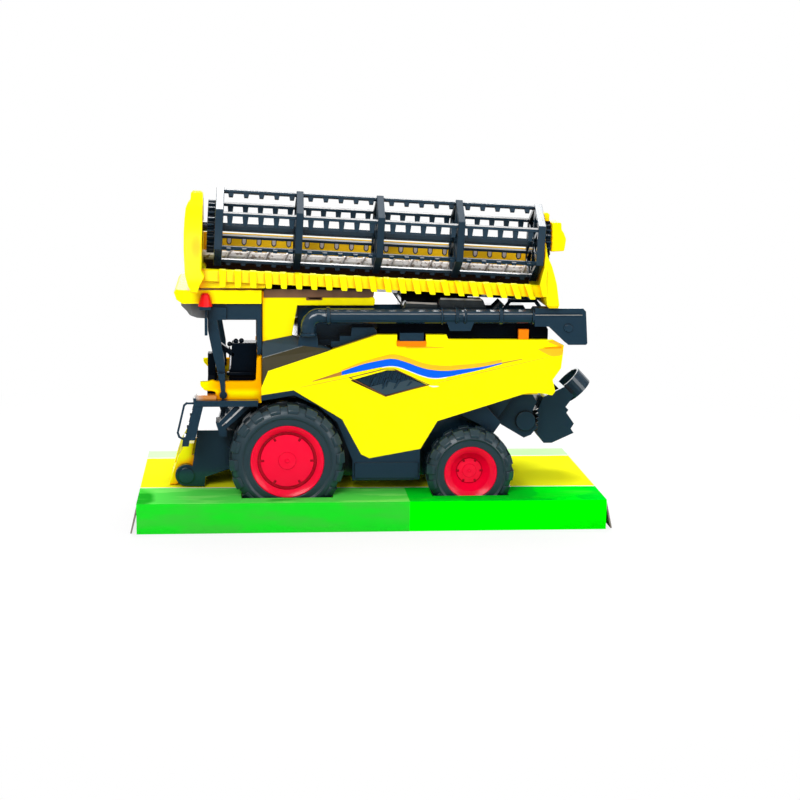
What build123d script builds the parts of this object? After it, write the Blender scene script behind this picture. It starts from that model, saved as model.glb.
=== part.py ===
# Toy combine harvester carrying its header on the cab roof, standing on a printed card display tray.
# Millimetres, +Z up.  -X is the front of the machine, -Y is its left side, Z = 0 is the tray's underside.
import os
from math import cos, pi, radians, sin

from build123d import *

os.makedirs("parts", exist_ok=True)

# ---------------------------------------------------------------- driving dimensions
TRAY_LENGTH = 270.0
TRAY_DEPTH = 140.0
TRAY_HEIGHT = 17.6
TRAY_WELL_FLOOR = 4.5
FLAP_SPLAY = 3.6
FLAP_SHEET = 0.9

FRONT_AXLE_X = -49.4
FRONT_TYRE_R = 33.3
FRONT_RIM_R = 21.3
FRONT_TYRE_WIDTH = 24.0
FRONT_TYRE_OUT = 57.0
REAR_AXLE_X = 57.2
REAR_TYRE_R = 25.7
REAR_RIM_R = 15.6
REAR_TYRE_WIDTH = 18.0
REAR_TYRE_OUT = 56.0
WHEEL_GAP = 0.4
RIM_INSET = 1.4
FRONT_AXLE_Z = TRAY_WELL_FLOOR + WHEEL_GAP + FRONT_TYRE_R
REAR_AXLE_Z = TRAY_WELL_FLOOR + WHEEL_GAP + REAR_TYRE_R
FRONT_SHAFT_R = 3.0
REAR_SHAFT_R = 2.5
RUNNING_CLEARANCE = 0.05

CHASSIS_HALF = 30.0
PANEL_OUT = 48.0
PANEL_IN = 44.0
CREASE_RISE = -6.6
CREASE_LEAN = 1.3
TANK_HALF = 40.0
CAB_HALF = 42.0
TUB_HALF = 44.0
DECK_Z = 106.5

AUGER_PIVOT_X = -37.2
AUGER_Y = -47.0
AUGER_Z = 121.6
AUGER_R = 4.4
AUGER_BEND = 6.0
AUGER_SEAT_Z = 111.5
AUGER_PIN_R = 2.0
SPOUT_X = 93.0

CHUTE_PIVOT_X = 94.5
CHUTE_PIVOT_Z = 54.6
CHUTE_HALF = 14.0
CHUTE_PIN_R = 2.5

COUPLER_X = -108.0
COUPLER_Z = 24.8

HEADER_TILT = 2.7
HEADER_X = 4.0
REEL_Y = -30.0
REEL_Z = 166.7
REEL_R = 22.7
REEL_HALF = 94.2
REEL_SHAFT_R = 3.0
HEADER_FLOOR = -33.5
HEADER_BASE = -35.4

WHEEL_SIDES = 40


# ---------------------------------------------------------------- small builders
def block(x0, x1, y0, y1, z0, z1):
    centre = Pos((x0 + x1) / 2, (y0 + y1) / 2, (z0 + z1) / 2)
    return centre * Box(x1 - x0, y1 - y0, z1 - z0)


def side_prism(outline, y0, y1):
    face = Plane.XZ * Polygon(*outline, align=None)
    return Pos(0, y1, 0) * extrude(face, amount=y1 - y0, dir=(0, -1, 0))


def end_prism(outline, x0, x1):
    """Outline given as (y, z) pairs, drawn out along X."""
    face = Plane.YZ * Polygon(*outline, align=None)
    return Pos(x0, 0, 0) * extrude(face, amount=x1 - x0, dir=(1, 0, 0))


def rod_y(x, z, radius, y0, y1):
    return Pos(x, (y0 + y1) / 2, z) * Rot(90, 0, 0) * Cylinder(radius, y1 - y0)


def rod_x(y, z, radius, x0, x1):
    return Pos((x0 + x1) / 2, y, z) * Rot(0, 90, 0) * Cylinder(radius, x1 - x0)


def rod_z(x, y, radius, z0, z1):
    return Pos(x, y, (z0 + z1) / 2) * Cylinder(radius, z1 - z0)


def facets(lower, upper):
    """Solid between two like rings of points, closed by flat faces."""
    faces = [Face(Wire.make_polygon(lower)), Face(Wire.make_polygon(upper))]
    for i in range(len(lower)):
        j = (i + 1) % len(lower)
        faces.append(Face(Wire.make_polygon([lower[i], lower[j], upper[j], upper[i]])))
    return Solid(Shell(faces))


def ring(radius, z, sides, turn=0.0):
    """Points of a regular outline that lies flat at height z."""
    angles = [turn + 2 * pi * i / sides for i in range(sides)]
    return [(radius * cos(a), radius * sin(a), z) for a in angles]


def sections(outlines):
    """Ruled solid through side-view outlines given as (y, outline)."""
    faces = [Pos(0, y, 0) * Plane.XZ * Polygon(*pts, align=None) for y, pts in outlines]
    return loft(faces, ruled=True)


def mirrored(shape):
    return mirror(shape, about=Plane.XZ)


def save(shape, node):
    shape.label = node
    export_step(shape, "parts/" + node + ".step")


tilt = Pos(HEADER_X, REEL_Y, REEL_Z) * Rot(0, HEADER_TILT, 0)

# ---------------------------------------------------------------- display tray
half_l = TRAY_LENGTH / 2
half_d = TRAY_DEPTH / 2
tray = block(-half_l, half_l, -half_d, half_d, 0, TRAY_HEIGHT)
wells = (
    # centre x, half length, inner y, outer y
    (FRONT_AXLE_X, 28.6, 31.0, 58.2),
    (REAR_AXLE_X, 25.4, 36.0, 57.2),
)
for centre_x, half, y_in, y_out in wells:
    for side in (-1, 1):
        y0, y1 = sorted((side * y_in, side * y_out))
        tray -= block(centre_x - half, centre_x + half, y0, y1, TRAY_WELL_FLOOR, TRAY_HEIGHT + 1)
for side in (-1, 1):
    edge = side * half_l
    tip = side * (half_l + FLAP_SPLAY)
    inner = side * (half_l + FLAP_SPLAY - FLAP_SHEET)
    outline = [(edge, 16.6), (tip, 0.6), (inner, 0.6), (edge, 12.8)]
    tray += side_prism(outline, -half_d, half_d)
tray += block(-10, 20, -14, 14, TRAY_HEIGHT, 24.0)
save(tray, "display_tray")

# ---------------------------------------------------------------- chassis: spine, belly and rear arms
chassis = side_prism([
    (-79.0, 24.0), (-79.0, 51.5), (-85.4, 54.2), (-71.0, 65.5), (-63.5, 75.0), (88.0, 75.0),
    (76.0, 58.0), (66.0, 40.0), (66.0, 24.0),
], -CHASSIS_HALF, CHASSIS_HALF)
chassis += side_prism([(-11.0, 24.0), (-11.0, 40.0), (-5.0, 38.0), (28.0, 43.0), (28.0, 24.0)],
                      -PANEL_IN, PANEL_IN)
rear_liner = [(50.0, 63.0), (60.0, 67.5), (67.0, 67.5), (77.1, 56.8), (71.2, 48.2), (64.0, 56.0)]
chassis += side_prism(rear_liner, -37.0, 37.0)
for x, z, radius in ((FRONT_AXLE_X, FRONT_AXLE_Z, FRONT_SHAFT_R),
                     (REAR_AXLE_X, REAR_AXLE_Z, REAR_SHAFT_R)):
    chassis -= rod_y(x, z, radius + RUNNING_CLEARANCE, -CHASSIS_HALF - 1, CHASSIS_HALF + 1)
save(chassis, "chassis")

# ---------------------------------------------------------------- side panels with vents and latches
panel_outline = [
    (-60.2, 89.9), (2.5, 110.8), (42.5, 110.8), (43.6, 108.2), (104.6, 107.9), (111.4, 104.4),
    (110.0, 91.1), (105.3, 84.2), (107.0, 77.4), (105.3, 75.1), (97.8, 76.5), (90.1, 76.5),
    (38.0, 60.1), (28.3, 43.7), (-1.6, 38.3), (-6.4, 40.7), (-17.5, 61.4), (-45.7, 78.7),
    (-64.2, 75.8), (-64.2, 80.0),
]
vent_outline = [(-13.0, 84.2), (8.0, 90.2), (14.0, 90.2), (32.2, 81.2), (7.4, 74.7)]
LATCH = (13.9, 30.5, 104.4, 107.3, 112.0)
panel = side_prism(panel_outline, -PANEL_OUT, -PANEL_IN)
panel -= side_prism(vent_outline, -PANEL_OUT - 1, -PANEL_OUT + 2.5)
panel -= block(LATCH[0], LATCH[1], -PANEL_OUT - 1, -PANEL_IN + 1, LATCH[2], LATCH[4])
panel -= side_prism([(99.0, 103.2), (112.5, 104.4), (111.5, 100.5)], -PANEL_OUT - 1, -PANEL_OUT + 0.8)
crease = Pos(-41.3, -PANEL_OUT, 80.4) * Rot(0, CREASE_RISE, 0) * Rot(-CREASE_LEAN, 0, 0) * block(
    -30, 190, -10, 0, 0, 60)
panel -= crease
save(panel, "side_panel_left")
save(mirrored(panel), "side_panel_right")
vent = side_prism(vent_outline, -PANEL_OUT + 1.0, -PANEL_OUT + 2.5)
for i in range(4):
    x = -2.0 + 7.0 * i
    vent += side_prism([(x, 78.6 + abs(i - 1.3)), (x + 1.2, 78.6 + abs(i - 1.3)), (x + 4.2, 86.4 - i),
                        (x + 3.0, 86.4 - i)], -PANEL_OUT + 0.5, -PANEL_OUT + 1.0)
save(vent, "vent_left")
save(mirrored(vent), "vent_right")
latch = block(LATCH[0], LATCH[1], -PANEL_OUT - 0.8, -PANEL_IN, LATCH[2], LATCH[3])
save(latch, "latch_left")
save(mirrored(latch), "latch_right")

# ---------------------------------------------------------------- body core between the panels
core = side_prism([
    (-63.5, 75.0), (-63.5, 96.0), (-20.0, 96.0), (-20.0, 102.5), (105.0, 102.5), (104.0, 96.0),
    (100.0, 86.0), (101.0, 78.5), (97.0, 75.0),
], -PANEL_IN, PANEL_IN)
core -= chassis
save(core, "body_core")

# ---------------------------------------------------------------- grain tank and its lid
tank = side_prism([
    (-63.5, 96.0), (-63.5, 134.9), (0.0, 131.8), (1.5, 130.6), (1.5, 127.8), (0.6, 126.8),
    (-43.3, 126.8), (-46.1, 111.0), (-46.1, 96.0),
], -TANK_HALF, TANK_HALF)
save(tank, "grain_tank")
lid = side_prism([(-62.5, 134.0), (-62.5, 136.4), (-0.5, 133.3), (1.0, 130.0)], -TANK_HALF, TANK_HALF)
lid += side_prism([(-38.0, 131.6), (-36.5, 130.4), (-30.5, 130.2), (-29.0, 131.4), (-29.0, 134.0),
                   (-38.0, 134.0)], -TANK_HALF - 0.5, -TANK_HALF)
lid -= tank
save(lid, "tank_lid")

# ---------------------------------------------------------------- dark shoulders below the tank
shoulder = side_prism([(-63.5, 80.0), (-63.5, 110.0), (-24.0, 110.0), (-24.0, 80.0)], -47.6, -38.0)
upper_cut = sections((
    (-36.0, [(-70.0, 105.6), (-46.0, 111.6), (-20.0, 103.0), (-20.0, 130.0), (-70.0, 130.0)]),
    (-46.0, [(-70.0, 96.0), (-46.0, 100.2), (-20.0, 104.0), (-20.0, 130.0), (-70.0, 130.0)]),
    (-50.0, [(-70.0, 84.0), (-46.0, 90.0), (-20.0, 98.0), (-20.0, 130.0), (-70.0, 130.0)]),
))
shoulder -= upper_cut
shoulder -= side_prism(panel_outline, -PANEL_OUT - 1, -PANEL_IN + 0.01)
shoulder -= side_prism([(-64.5, 70.0), (-64.5, 79.9), (-60.5, 89.6), (-24.0, 101.7), (-24.0, 70.0)],
                       -PANEL_OUT, -PANEL_IN + 0.01)
shoulder -= core
shoulder -= tank
shoulder = max(shoulder.solids(), key=lambda piece: piece.volume)
save(shoulder, "shoulder_left")
save(mirrored(shoulder), "shoulder_right")

# ---------------------------------------------------------------- fenders: arch lip and skirt
fender = side_prism([
    (-64.2, 75.6), (-45.9, 78.5), (-17.7, 61.2), (-6.6, 40.5), (-1.6, 38.1), (28.1, 43.5),
    (28.1, 25.4), (-11.4, 25.4), (-11.4, 37.0), (-20.5, 59.5), (-32.0, 69.5), (-45.5, 75.6),
    (-64.2, 72.4),
], -PANEL_OUT + 0.2, -PANEL_IN)
fender += block(-10.0, 27.0, -PANEL_OUT - 0.6, -PANEL_OUT + 0.2, 26.6, 35.6)
save(fender, "fender_left")
save(mirrored(fender), "fender_right")

# ---------------------------------------------------------------- engine deck, hoods, pipe, handle
deck = block(-46.1, 105.0, -PANEL_IN, PANEL_IN, 102.5, DECK_Z)
deck -= block(-47, -20, -50, 50, 90, 103.2)
deck += block(-43.0, 1.5, -33, 33, DECK_Z, 126.8)
hoods = (
    # x start, x end, left slope, top z, half depth
    (1.5, 17.0, 0.0, 126.6, 33.0),
    (17.0, 38.8, 2.0, 125.4, 30.0),
    (38.8, 65.3, 0.6, 128.3, 27.0),
    (65.3, 78.0, -3.0, 114.0, 30.0),
)
for x0, x1, slope, top, half in hoods:
    deck += side_prism([(x0, DECK_Z), (x0, top - 8.0), (x0 + max(slope, 0.0), top),
                        (x1 + min(slope, 0.0), top), (x1, top - 8.0), (x1, DECK_Z)], -half, half)
header_floor = tilt * block(-99, 99, -14, 40, HEADER_FLOOR, 60)
deck += block(20.0, 60.0, -4.0, 24.0, 124.0, 150.0) - header_floor
for y0, y1 in ((-PANEL_IN, -33.0), (33.0, PANEL_IN)):
    deck += side_prism([(-19.0, DECK_Z), (-19.0, 109.5), (-12.5, 109.5), (-12.0, 114.6), (0.5, 114.6),
                        (2.5, 112.0), (2.5, DECK_Z)], y0, y1)
for side in (-1, 1):
    y0, y1 = sorted((side * PANEL_IN, side * (PANEL_OUT + 0.6)))
    deck += block(LATCH[0] + 1.4, LATCH[1] - 1.4, y0, y1, LATCH[3], LATCH[4])
    y0, y1 = sorted((side * (PANEL_IN - 4), side * PANEL_IN))
    deck += block(LATCH[0] + 1.4, LATCH[1] - 1.4, y0, y1, DECK_Z, LATCH[4])
deck -= tank
deck -= core
deck -= panel
deck -= mirrored(panel)
deck -= shoulder
deck -= mirrored(shoulder)
save(deck, "engine_deck")
PIPE_KNEE = Pos(70.0, -22.0, 119.0)
pipe = Pos(70.0, -22.0, 114.0) * extrude(RegularPolygon(3.0, 12), amount=5.0)
pipe += PIPE_KNEE * Rot(0, 22, 0) * extrude(RegularPolygon(3.0, 12), amount=1.2, both=True)
pipe += PIPE_KNEE * Rot(0, 45, 0) * extrude(RegularPolygon(3.0, 12), amount=11.0)
pipe -= PIPE_KNEE * Rot(0, 45, 0) * Pos(0, 0, 5.0) * extrude(RegularPolygon(2.1, 12), amount=8.0)
save(pipe, "exhaust_pipe")
handle_outer = [(79.0, DECK_Z), (79.0, 123.5), (82.6, 128.2), (99.0, 128.2), (102.6, 123.5),
                (102.6, DECK_Z)]
handle_inner = [(81.0, DECK_Z - 1), (81.0, 122.8), (83.6, 126.3), (98.0, 126.3), (100.6, 122.8),
                (100.6, DECK_Z - 1)]
handle = side_prism(handle_outer, -22, -18) - side_prism(handle_inner, -23, -17)
handle += block(80.0, 92.5, -22, -18, DECK_Z, 120.5)
save(handle, "carry_handle")
rest = block(84.5, 90.5, -47.4, -44.4, 108.0, 114.0)
rest -= panel
save(rest, "auger_rest")

# ---------------------------------------------------------------- cab
tub = side_prism([
    (-94.5, 77.3), (-98.0, 79.3), (-99.2, 81.6), (-98.6, 83.3), (-67.6, 83.3), (-67.6, 96.6),
    (-66.0, 98.6), (-63.8, 98.6), (-63.8, 71.3), (-89.8, 71.3), (-89.8, 77.0),
], -TUB_HALF, TUB_HALF)
tub -= block(-96.0, -67.6, -TUB_HALF + 2.5, TUB_HALF - 2.5, 79.0, 84)
tub -= chassis
save(tub, "cab_tub")
pillar_outline = [
    (-94.6, 126.0), (-94.5, 112.8), (-92.2, 101.0), (-87.8, 83.3), (-87.8, 82.0), (-87.2, 76.3),
    (-84.9, 76.3), (-84.8, 84.0), (-85.1, 94.5), (-88.0, 111.6), (-89.2, 118.8), (-84.0, 118.8),
    (-84.0, 126.0),
]
cab = block(-94.0, -63.8, -CAB_HALF, CAB_HALF, 118.7, 128.2)
cab -= block(-91.0, -66.4, -CAB_HALF + 3.2, CAB_HALF - 3.2, 110.0, 126.0)
cab += block(-66.4, -63.8, -CAB_HALF, CAB_HALF, 98.6, 119.0)
for side in (-1, 1):
    y0, y1 = sorted((side * (CAB_HALF - 2.6), side * (CAB_HALF + 1.2)))
    pillar = side_prism(pillar_outline, y0, y1)
    pillar += rod_y(-85.9, 75.4, 2.2, y0, y1)
    pillar -= tub
    cab += pillar
    y0, y1 = sorted((side * (CAB_HALF - 2.6), side * (TUB_HALF + 1.3)))
    boss = rod_y(-85.9, 75.4, 2.2, y0, y1)
    y0, y1 = sorted((side * TUB_HALF, side * (TUB_HALF + 1.3)))
    foot = side_prism([(-88.6, 87.0), (-87.8, 82.0), (-87.0, 76.0), (-84.9, 76.0), (-84.8, 84.0),
                       (-84.9, 88.0)], y0, y1)
    foot += side_prism([(-88.9, 88.0), (-88.4, 84.0), (-84.8, 84.0), (-84.9, 88.0)],
                       *sorted((side * CAB_HALF, side * (TUB_HALF + 1.3))))
    cab += foot + (boss - tub)
    y0, y1 = sorted((side * (CAB_HALF - 2), side * 50.2))
    cab += block(-99.0, -92.6, y0, y1, 125.4, 127.1)
cab -= tub
save(cab, "cab_frame")
roof = side_prism([
    (-113.8, 134.2), (-112.3, 136.0), (-63.8, 136.0), (-63.8, 128.2), (-92.0, 128.2), (-109.0, 128.2),
    (-112.2, 130.0),
], -TUB_HALF, TUB_HALF)
roof -= cab
plan = Polygon((-120.0, -34.0), (-108.0, -44.5), (-60.0, -44.5), (-60.0, 44.5), (-108.0, 44.5),
               (-120.0, 34.0), align=None)
roof = roof & Pos(0, 0, 120) * extrude(plan, amount=20)
save(roof, "cab_roof")
lamps = side_prism([
    (-110.2, 128.2), (-110.0, 125.0), (-106.6, 122.5), (-105.1, 120.7), (-100.7, 119.2), (-94.0, 118.7),
    (-94.0, 128.2),
], -37, 37)
plan = Polygon((-111.0, -26.0), (-104.0, -37.0), (-90.0, -37.0), (-90.0, 37.0), (-104.0, 37.0),
               (-111.0, 26.0), align=None)
lamps = lamps & Pos(0, 0, 110) * extrude(plan, amount=20)
lamps -= cab
save(lamps, "roof_lamps")
seat = block(-84.0, -69.0, -11, 11, 79.0, 86.0)
seat += side_prism([(-76.0, 86.0), (-74.0, 101.0), (-70.0, 101.0), (-69.5, 86.0)], -11, 11)
seat += block(-82.5, -70.0, -15, -11, 79.0, 97.0) + block(-82.5, -70.0, 11, 15, 79.0, 97.0)
seat += side_prism([(-74.0, 101.0), (-74.5, 104.0), (-70.2, 104.0), (-70.0, 101.0)], -6, 6)
save(seat, "seat")
dash = block(-94.6, -92.8, -36, 36, 79.0, 100.8)
dash += side_prism([(-92.8, 79.0), (-92.8, 92.0), (-88.0, 97.6), (-86.6, 96.4), (-90.5, 90.0), (-90.5, 79.0)],
                   -2.2, 2.2)
grip = extrude(RegularPolygon(6.4, 14), amount=0.7, both=True)
grip -= extrude(RegularPolygon(5.2, 14), amount=1.0, both=True)
grip += extrude(RegularPolygon(1.9, 8), amount=0.7, both=True)
dash += Pos(-87.4, 0, 97.6) * Rot(0, 37, 0) * (grip + Box(11.0, 1.6, 1.2) + Box(1.6, 11.0, 1.2))
save(dash, "steering_column")
beacon = Pos(-95.8, -46.4, 127.1) * facets(ring(4.1, 0.0, 14), ring(2.3, 6.8, 14))
beacon += Pos(-95.8, -46.4, 133.9) * extrude(RegularPolygon(1.8, 14), amount=0.7)
beacon -= roof
save(beacon, "beacon_left")
save(mirrored(beacon), "beacon_right")
paddle = block(-96.2, -94.6, -50.0, -45.0, 110.8, 121.0) + block(-96.0, -94.8, -46.0, -43.0, 119.6, 125.4)
paddle -= cab
save(paddle, "mirror_left")
save(mirrored(paddle), "mirror_right")

# ---------------------------------------------------------------- landing, ladder and its grab loop
platform = block(-103.0, -66.0, -50, -36, 69.5, 73.0)
platform += block(-103.0, -101.4, -50, -36, 73.0, 74.6)
platform += block(-89.5, -66.0, -40, 40, 69.5, 71.3)
platform -= tub
platform -= side_prism(panel_outline, -60, 60)
platform -= chassis
save(platform, "platform")
stringer = [(-103.0, 69.5), (-97.4, 69.5), (-102.1, 50.0), (-105.2, 50.0), (-105.9, 46.4), (-109.7, 46.4),
            (-109.0, 50.5), (-107.7, 52.0)]
ladder = side_prism(stringer, -50, -48) + side_prism(stringer, -38, -36)
for i in range(3):
    x = -102.4 - 1.85 * i
    z = 64.0 - 7.0 * i
    ladder += block(x - 2.6, x + 2.6, -48, -38, z, z + 1.6)
rail_points = [(-103.0, 71.6), (-106.8, 71.6), (-108.2, 70.4), (-112.0, 54.4), (-111.2, 52.0), (-107.4, 49.8)]
for (xa, za), (xb, zb) in zip(rail_points, rail_points[1:]):
    length = ((xb - xa) ** 2 + (zb - za) ** 2) ** 0.5
    nx, nz = 0.6 * (zb - za) / length, -0.6 * (xb - xa) / length
    ladder += side_prism([(xa + nx, za + nz), (xb + nx, zb + nz), (xb - nx, zb - nz), (xa - nx, za - nz)],
                         -49.6, -48.4)
    ladder += rod_y(xb, zb, 0.62, -49.6, -48.4)
ladder -= platform
save(ladder, "ladder")

# ---------------------------------------------------------------- feeder house, brace and coupler
feeder = side_prism([
    (-101.0, 51.8), (-79.0, 51.8), (-79.0, 28.5), (-83.1, 28.5), (-96.9, 23.7), (-97.5, 18.0),
    (-108.0, 18.4), (-104.4, 30.0),
], -CHASSIS_HALF, CHASSIS_HALF)
feeder -= block(-110.0, -97.5, -25.5, 25.5, 17.0, 60.0)
feeder += block(-101.2, -97.5, -25.5, 25.5, 47.0, 51.8)
for side in (-1, 1):
    y0, y1 = sorted((side * CHASSIS_HALF, side * (CHASSIS_HALF - 4.5)))
    feeder += rod_y(COUPLER_X, COUPLER_Z, 6.4, y0, y1)
    y0, y1 = sorted((side * CHASSIS_HALF, side * (CHASSIS_HALF + 1.0)))
    feeder += rod_y(COUPLER_X, COUPLER_Z, 4.5, y0, y1)
BRACE_TABLE = (
    # lower x, lower z, upper x, upper z
    (-89.6, 58.2, -78.4, 67.0),
    (-86.9, 56.4, -72.6, 67.6),
)
for xa, za, xb, zb in BRACE_TABLE:
    for side in (-1, 1):
        y0, y1 = sorted((side * 45.0, side * 42.0))
        feeder += side_prism([(xa, za), (xb, zb + 2.4), (xb + 1.8, zb + 0.6), (xa + 1.6, za - 1.6)], y0, y1)
for side in (-1, 1):
    y0, y1 = sorted((side * 45.0, side * 28.0))
    feeder += side_prism([(-90.4, 59.4), (-88.4, 59.4), (-84.0, 54.6), (-84.0, 51.0), (-88.0, 51.0)], y0, y1)
feeder -= chassis
feeder -= platform
save(feeder, "feeder_house")
coupler = side_prism([
    (-118.0, 18.4), (-112.7, 35.3), (-108.5, 43.0), (-103.4, 43.0), (-104.6, 36.0), (-109.5, 30.0),
    (-113.5, 18.4),
], -25.3, 25.3)
coupler -= side_prism([(-120.0, 22.0), (-120.0, 32.0), (-100.0, 32.0), (-100.0, 22.0)], -17, 17)
for side in (-1, 1):
    y0, y1 = sorted((side * 22.0, side * 25.3))
    coupler += side_prism([(-112.0, 26.0), (-112.0, 36.0), (-99.8, 36.0), (-99.8, 30.6), (-104.0, 26.0)],
                          y0, y1)
save(coupler, "coupler_plate")


# ---------------------------------------------------------------- wheels
def lug_ring(lugs, lug_radius, groove_radius, turn, z=0.0):
    """Closed outline of one half of the tread: each lug stands proud for just under half its pitch."""
    pitch = 2 * pi / lugs
    points = []
    for i in range(lugs):
        middle = turn + pitch * i
        for share, radius in ((-0.23, groove_radius), (-0.23, lug_radius), (0.23, lug_radius),
                              (0.23, groove_radius)):
            angle = middle + share * pitch
            points.append((radius * cos(angle), radius * sin(angle), z))
    return points


def tyre(radius, rim_radius, width, lugs, lug_depth, turn):
    half = width / 2
    chamfer = half - 2.8
    groove = radius - lug_depth
    body = None
    for side in (-1, 1):
        start = turn if side > 0 else turn + pi / lugs
        middle = lug_ring(lugs, radius, groove, start)
        edge = lug_ring(lugs, radius, groove, start, side * chamfer)
        wall = lug_ring(lugs, radius - 3.0, groove - 3.6, start, side * half)
        half_tyre = facets(middle, edge) + facets(edge, wall)
        body = half_tyre if body is None else body + half_tyre
    bead = rim_radius + 4.4
    dish = facets(ring(bead, half - 0.8, WHEEL_SIDES), ring(bead, half + 1.0, WHEEL_SIDES))
    bore = facets(ring(rim_radius, -width, WHEEL_SIDES), ring(rim_radius, width, WHEEL_SIDES))
    return Rot(-90, 0, 0) * (body - dish - Rot(180, 0, 0) * dish - bore)


def rim(rim_radius, width, bands, notch_radius, notch_z):
    """A dish turned from the bands' table, with six small notches round its centre."""
    half = width / 2
    seat_radius = rim_radius - 0.03
    edge = half - RIM_INSET
    body = facets(ring(seat_radius, -edge, WHEEL_SIDES), ring(seat_radius, edge, WHEEL_SIDES))
    for (r0, z0), (r1, z1) in zip(bands, bands[1:]):
        body -= facets(ring(r1, half + z1, WHEEL_SIDES), ring(r0, half + z0, WHEEL_SIDES))
    for i in range(6):
        body -= Rot(0, 0, 60 * i) * Pos(notch_radius, 0, half + notch_z) * Box(3.0, 1.2, 1.2)
    return Rot(-90, 0, 0) * body


front_bands = ((20.4, -1.4), (17.4, -3.6), (17.0, -5.6))
rear_bands = ((14.9, -1.4), (11.4, -3.4), (11.0, -4.4), (7.8, -8.0))
wheel_table = (
    # end, axle x, axle z, tyre r, rim r, width, outer y,
    # lugs, lug depth, turn, bands, notch r, notch z, shaft r
    ("front", FRONT_AXLE_X, FRONT_AXLE_Z, FRONT_TYRE_R, FRONT_RIM_R, FRONT_TYRE_WIDTH, FRONT_TYRE_OUT,
     18, 2.2, 84.4, front_bands, 14.0, -3.8, FRONT_SHAFT_R),
    ("rear", REAR_AXLE_X, REAR_AXLE_Z, REAR_TYRE_R, REAR_RIM_R, REAR_TYRE_WIDTH, REAR_TYRE_OUT,
     16, 1.8, 85.8, rear_bands, 9.4, -6.0, REAR_SHAFT_R),
)
for end, x, z, tyre_r, rim_r, width, out, lugs, depth, turn, bands, notch_r, notch_z, shaft_r in wheel_table:
    mid = out - width / 2
    inner = mid - width / 2 + RIM_INSET
    one_tyre = tyre(tyre_r, rim_r, width, lugs, depth, radians(-turn))
    one_rim = rim(rim_r, width, bands, notch_r, notch_z)
    if end == "front":
        step = extrude(RegularPolygon(15.4, WHEEL_SIDES), amount=1.4) + extrude(
            RegularPolygon(5.0, 12), amount=1.9)
        for i in range(6):
            step -= Rot(0, 0, 60 * i) * Pos(15.4, 0, 1.0) * Box(5.6, 1.4, 1.2)
        one_rim += Rot(-90, 0, 0) * Pos(0, 0, width / 2 - 5.6) * step
    else:
        one_rim += Rot(-90, 0, 0) * Pos(0, 0, width / 2 - 8.0) * extrude(RegularPolygon(4.0, 12), amount=0.7)
    save(Pos(x, mid, z) * one_tyre, end + "_tyre_right")
    save(Pos(x, -mid, z) * mirrored(one_tyre), end + "_tyre_left")
    save(Pos(x, mid, z) * one_rim, end + "_rim_right")
    save(Pos(x, -mid, z) * mirrored(one_rim), end + "_rim_left")
    shaft = rod_y(x, z, shaft_r, -inner, inner)
    for side in (-1, 1):
        collar = extrude(RegularPolygon(shaft_r + 2.5, 12), amount=inner - CHASSIS_HALF - 0.3)
        collar = Pos(x, side * (CHASSIS_HALF + 0.3), z) * Rot(-90 * side, 0, 0) * collar
        shaft += collar
    save(shaft, end + "_axle")

# ---------------------------------------------------------------- unloading auger
pedestal = rod_z(AUGER_PIVOT_X, AUGER_Y, 3.8, 96.0, AUGER_SEAT_Z - 1.2)
pedestal += rod_z(AUGER_PIVOT_X, AUGER_Y, 4.6, AUGER_SEAT_Z - 2.4, AUGER_SEAT_Z - 1.2)
pedestal += block(AUGER_PIVOT_X - 3.8, AUGER_PIVOT_X + 3.8, AUGER_Y, -33.0, 100.0, AUGER_SEAT_Z - 1.2)
pedestal += rod_z(AUGER_PIVOT_X, AUGER_Y, AUGER_PIN_R, AUGER_SEAT_Z - 3.0, AUGER_SEAT_Z + 3.0)
for neighbour in (shoulder, panel, core, tank, deck):
    pedestal -= neighbour
pedestal = max(pedestal.solids(), key=lambda piece: piece.volume)
save(pedestal, "auger_pedestal")
AUGER_SEAT = (AUGER_PIVOT_X, AUGER_Y, AUGER_SEAT_Z)
bend = FilletPolyline(AUGER_SEAT, (AUGER_PIVOT_X, AUGER_Y, AUGER_Z), (SPOUT_X, AUGER_Y, AUGER_Z),
                      radius=AUGER_BEND)
tube = sweep(Plane(origin=AUGER_SEAT, z_dir=(0, 0, 1)) * RegularPolygon(AUGER_R, 16), path=bend)
for x in (-26.0, 48.0, 52.4, 73.6):
    tube += Pos(x, AUGER_Y, AUGER_Z) * Rot(0, 90, 0) * extrude(RegularPolygon(AUGER_R + 0.45, 16), amount=1.2)
tube += side_prism([(41.9, 119.0), (44.2, 113.4), (56.0, 113.4), (58.3, 119.0)], AUGER_Y - 3.2, AUGER_Y + 3.2)
collar = extrude(RegularPolygon(AUGER_R + 0.6, 16), amount=1.6)
tube += Pos(AUGER_PIVOT_X, AUGER_Y, AUGER_SEAT_Z - 1.0) * collar
tube -= rod_z(AUGER_PIVOT_X, AUGER_Y, AUGER_PIN_R + RUNNING_CLEARANCE, AUGER_SEAT_Z - 2, AUGER_SEAT_Z + 3.2)
save(tube, "auger_tube")
spout = side_prism([(SPOUT_X, 116.2), (SPOUT_X, 126.8), (121.0, 126.8), (122.8, 125.0), (124.2, 106.4),
                    (123.4, 105.5), (113.0, 105.5), (101.5, 116.2)], AUGER_Y - 5.2, AUGER_Y + 5.2)
spout -= side_prism([(103.0, 115.0), (104.0, 117.0), (121.0, 117.0), (122.4, 104.0), (114.4, 104.0)],
                    AUGER_Y - 4.0, AUGER_Y + 4.0)
spout += rod_y(112.3, 115.6, 2.2, AUGER_Y - 5.8, AUGER_Y - 5.2)
save(spout, "auger_spout")

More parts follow.
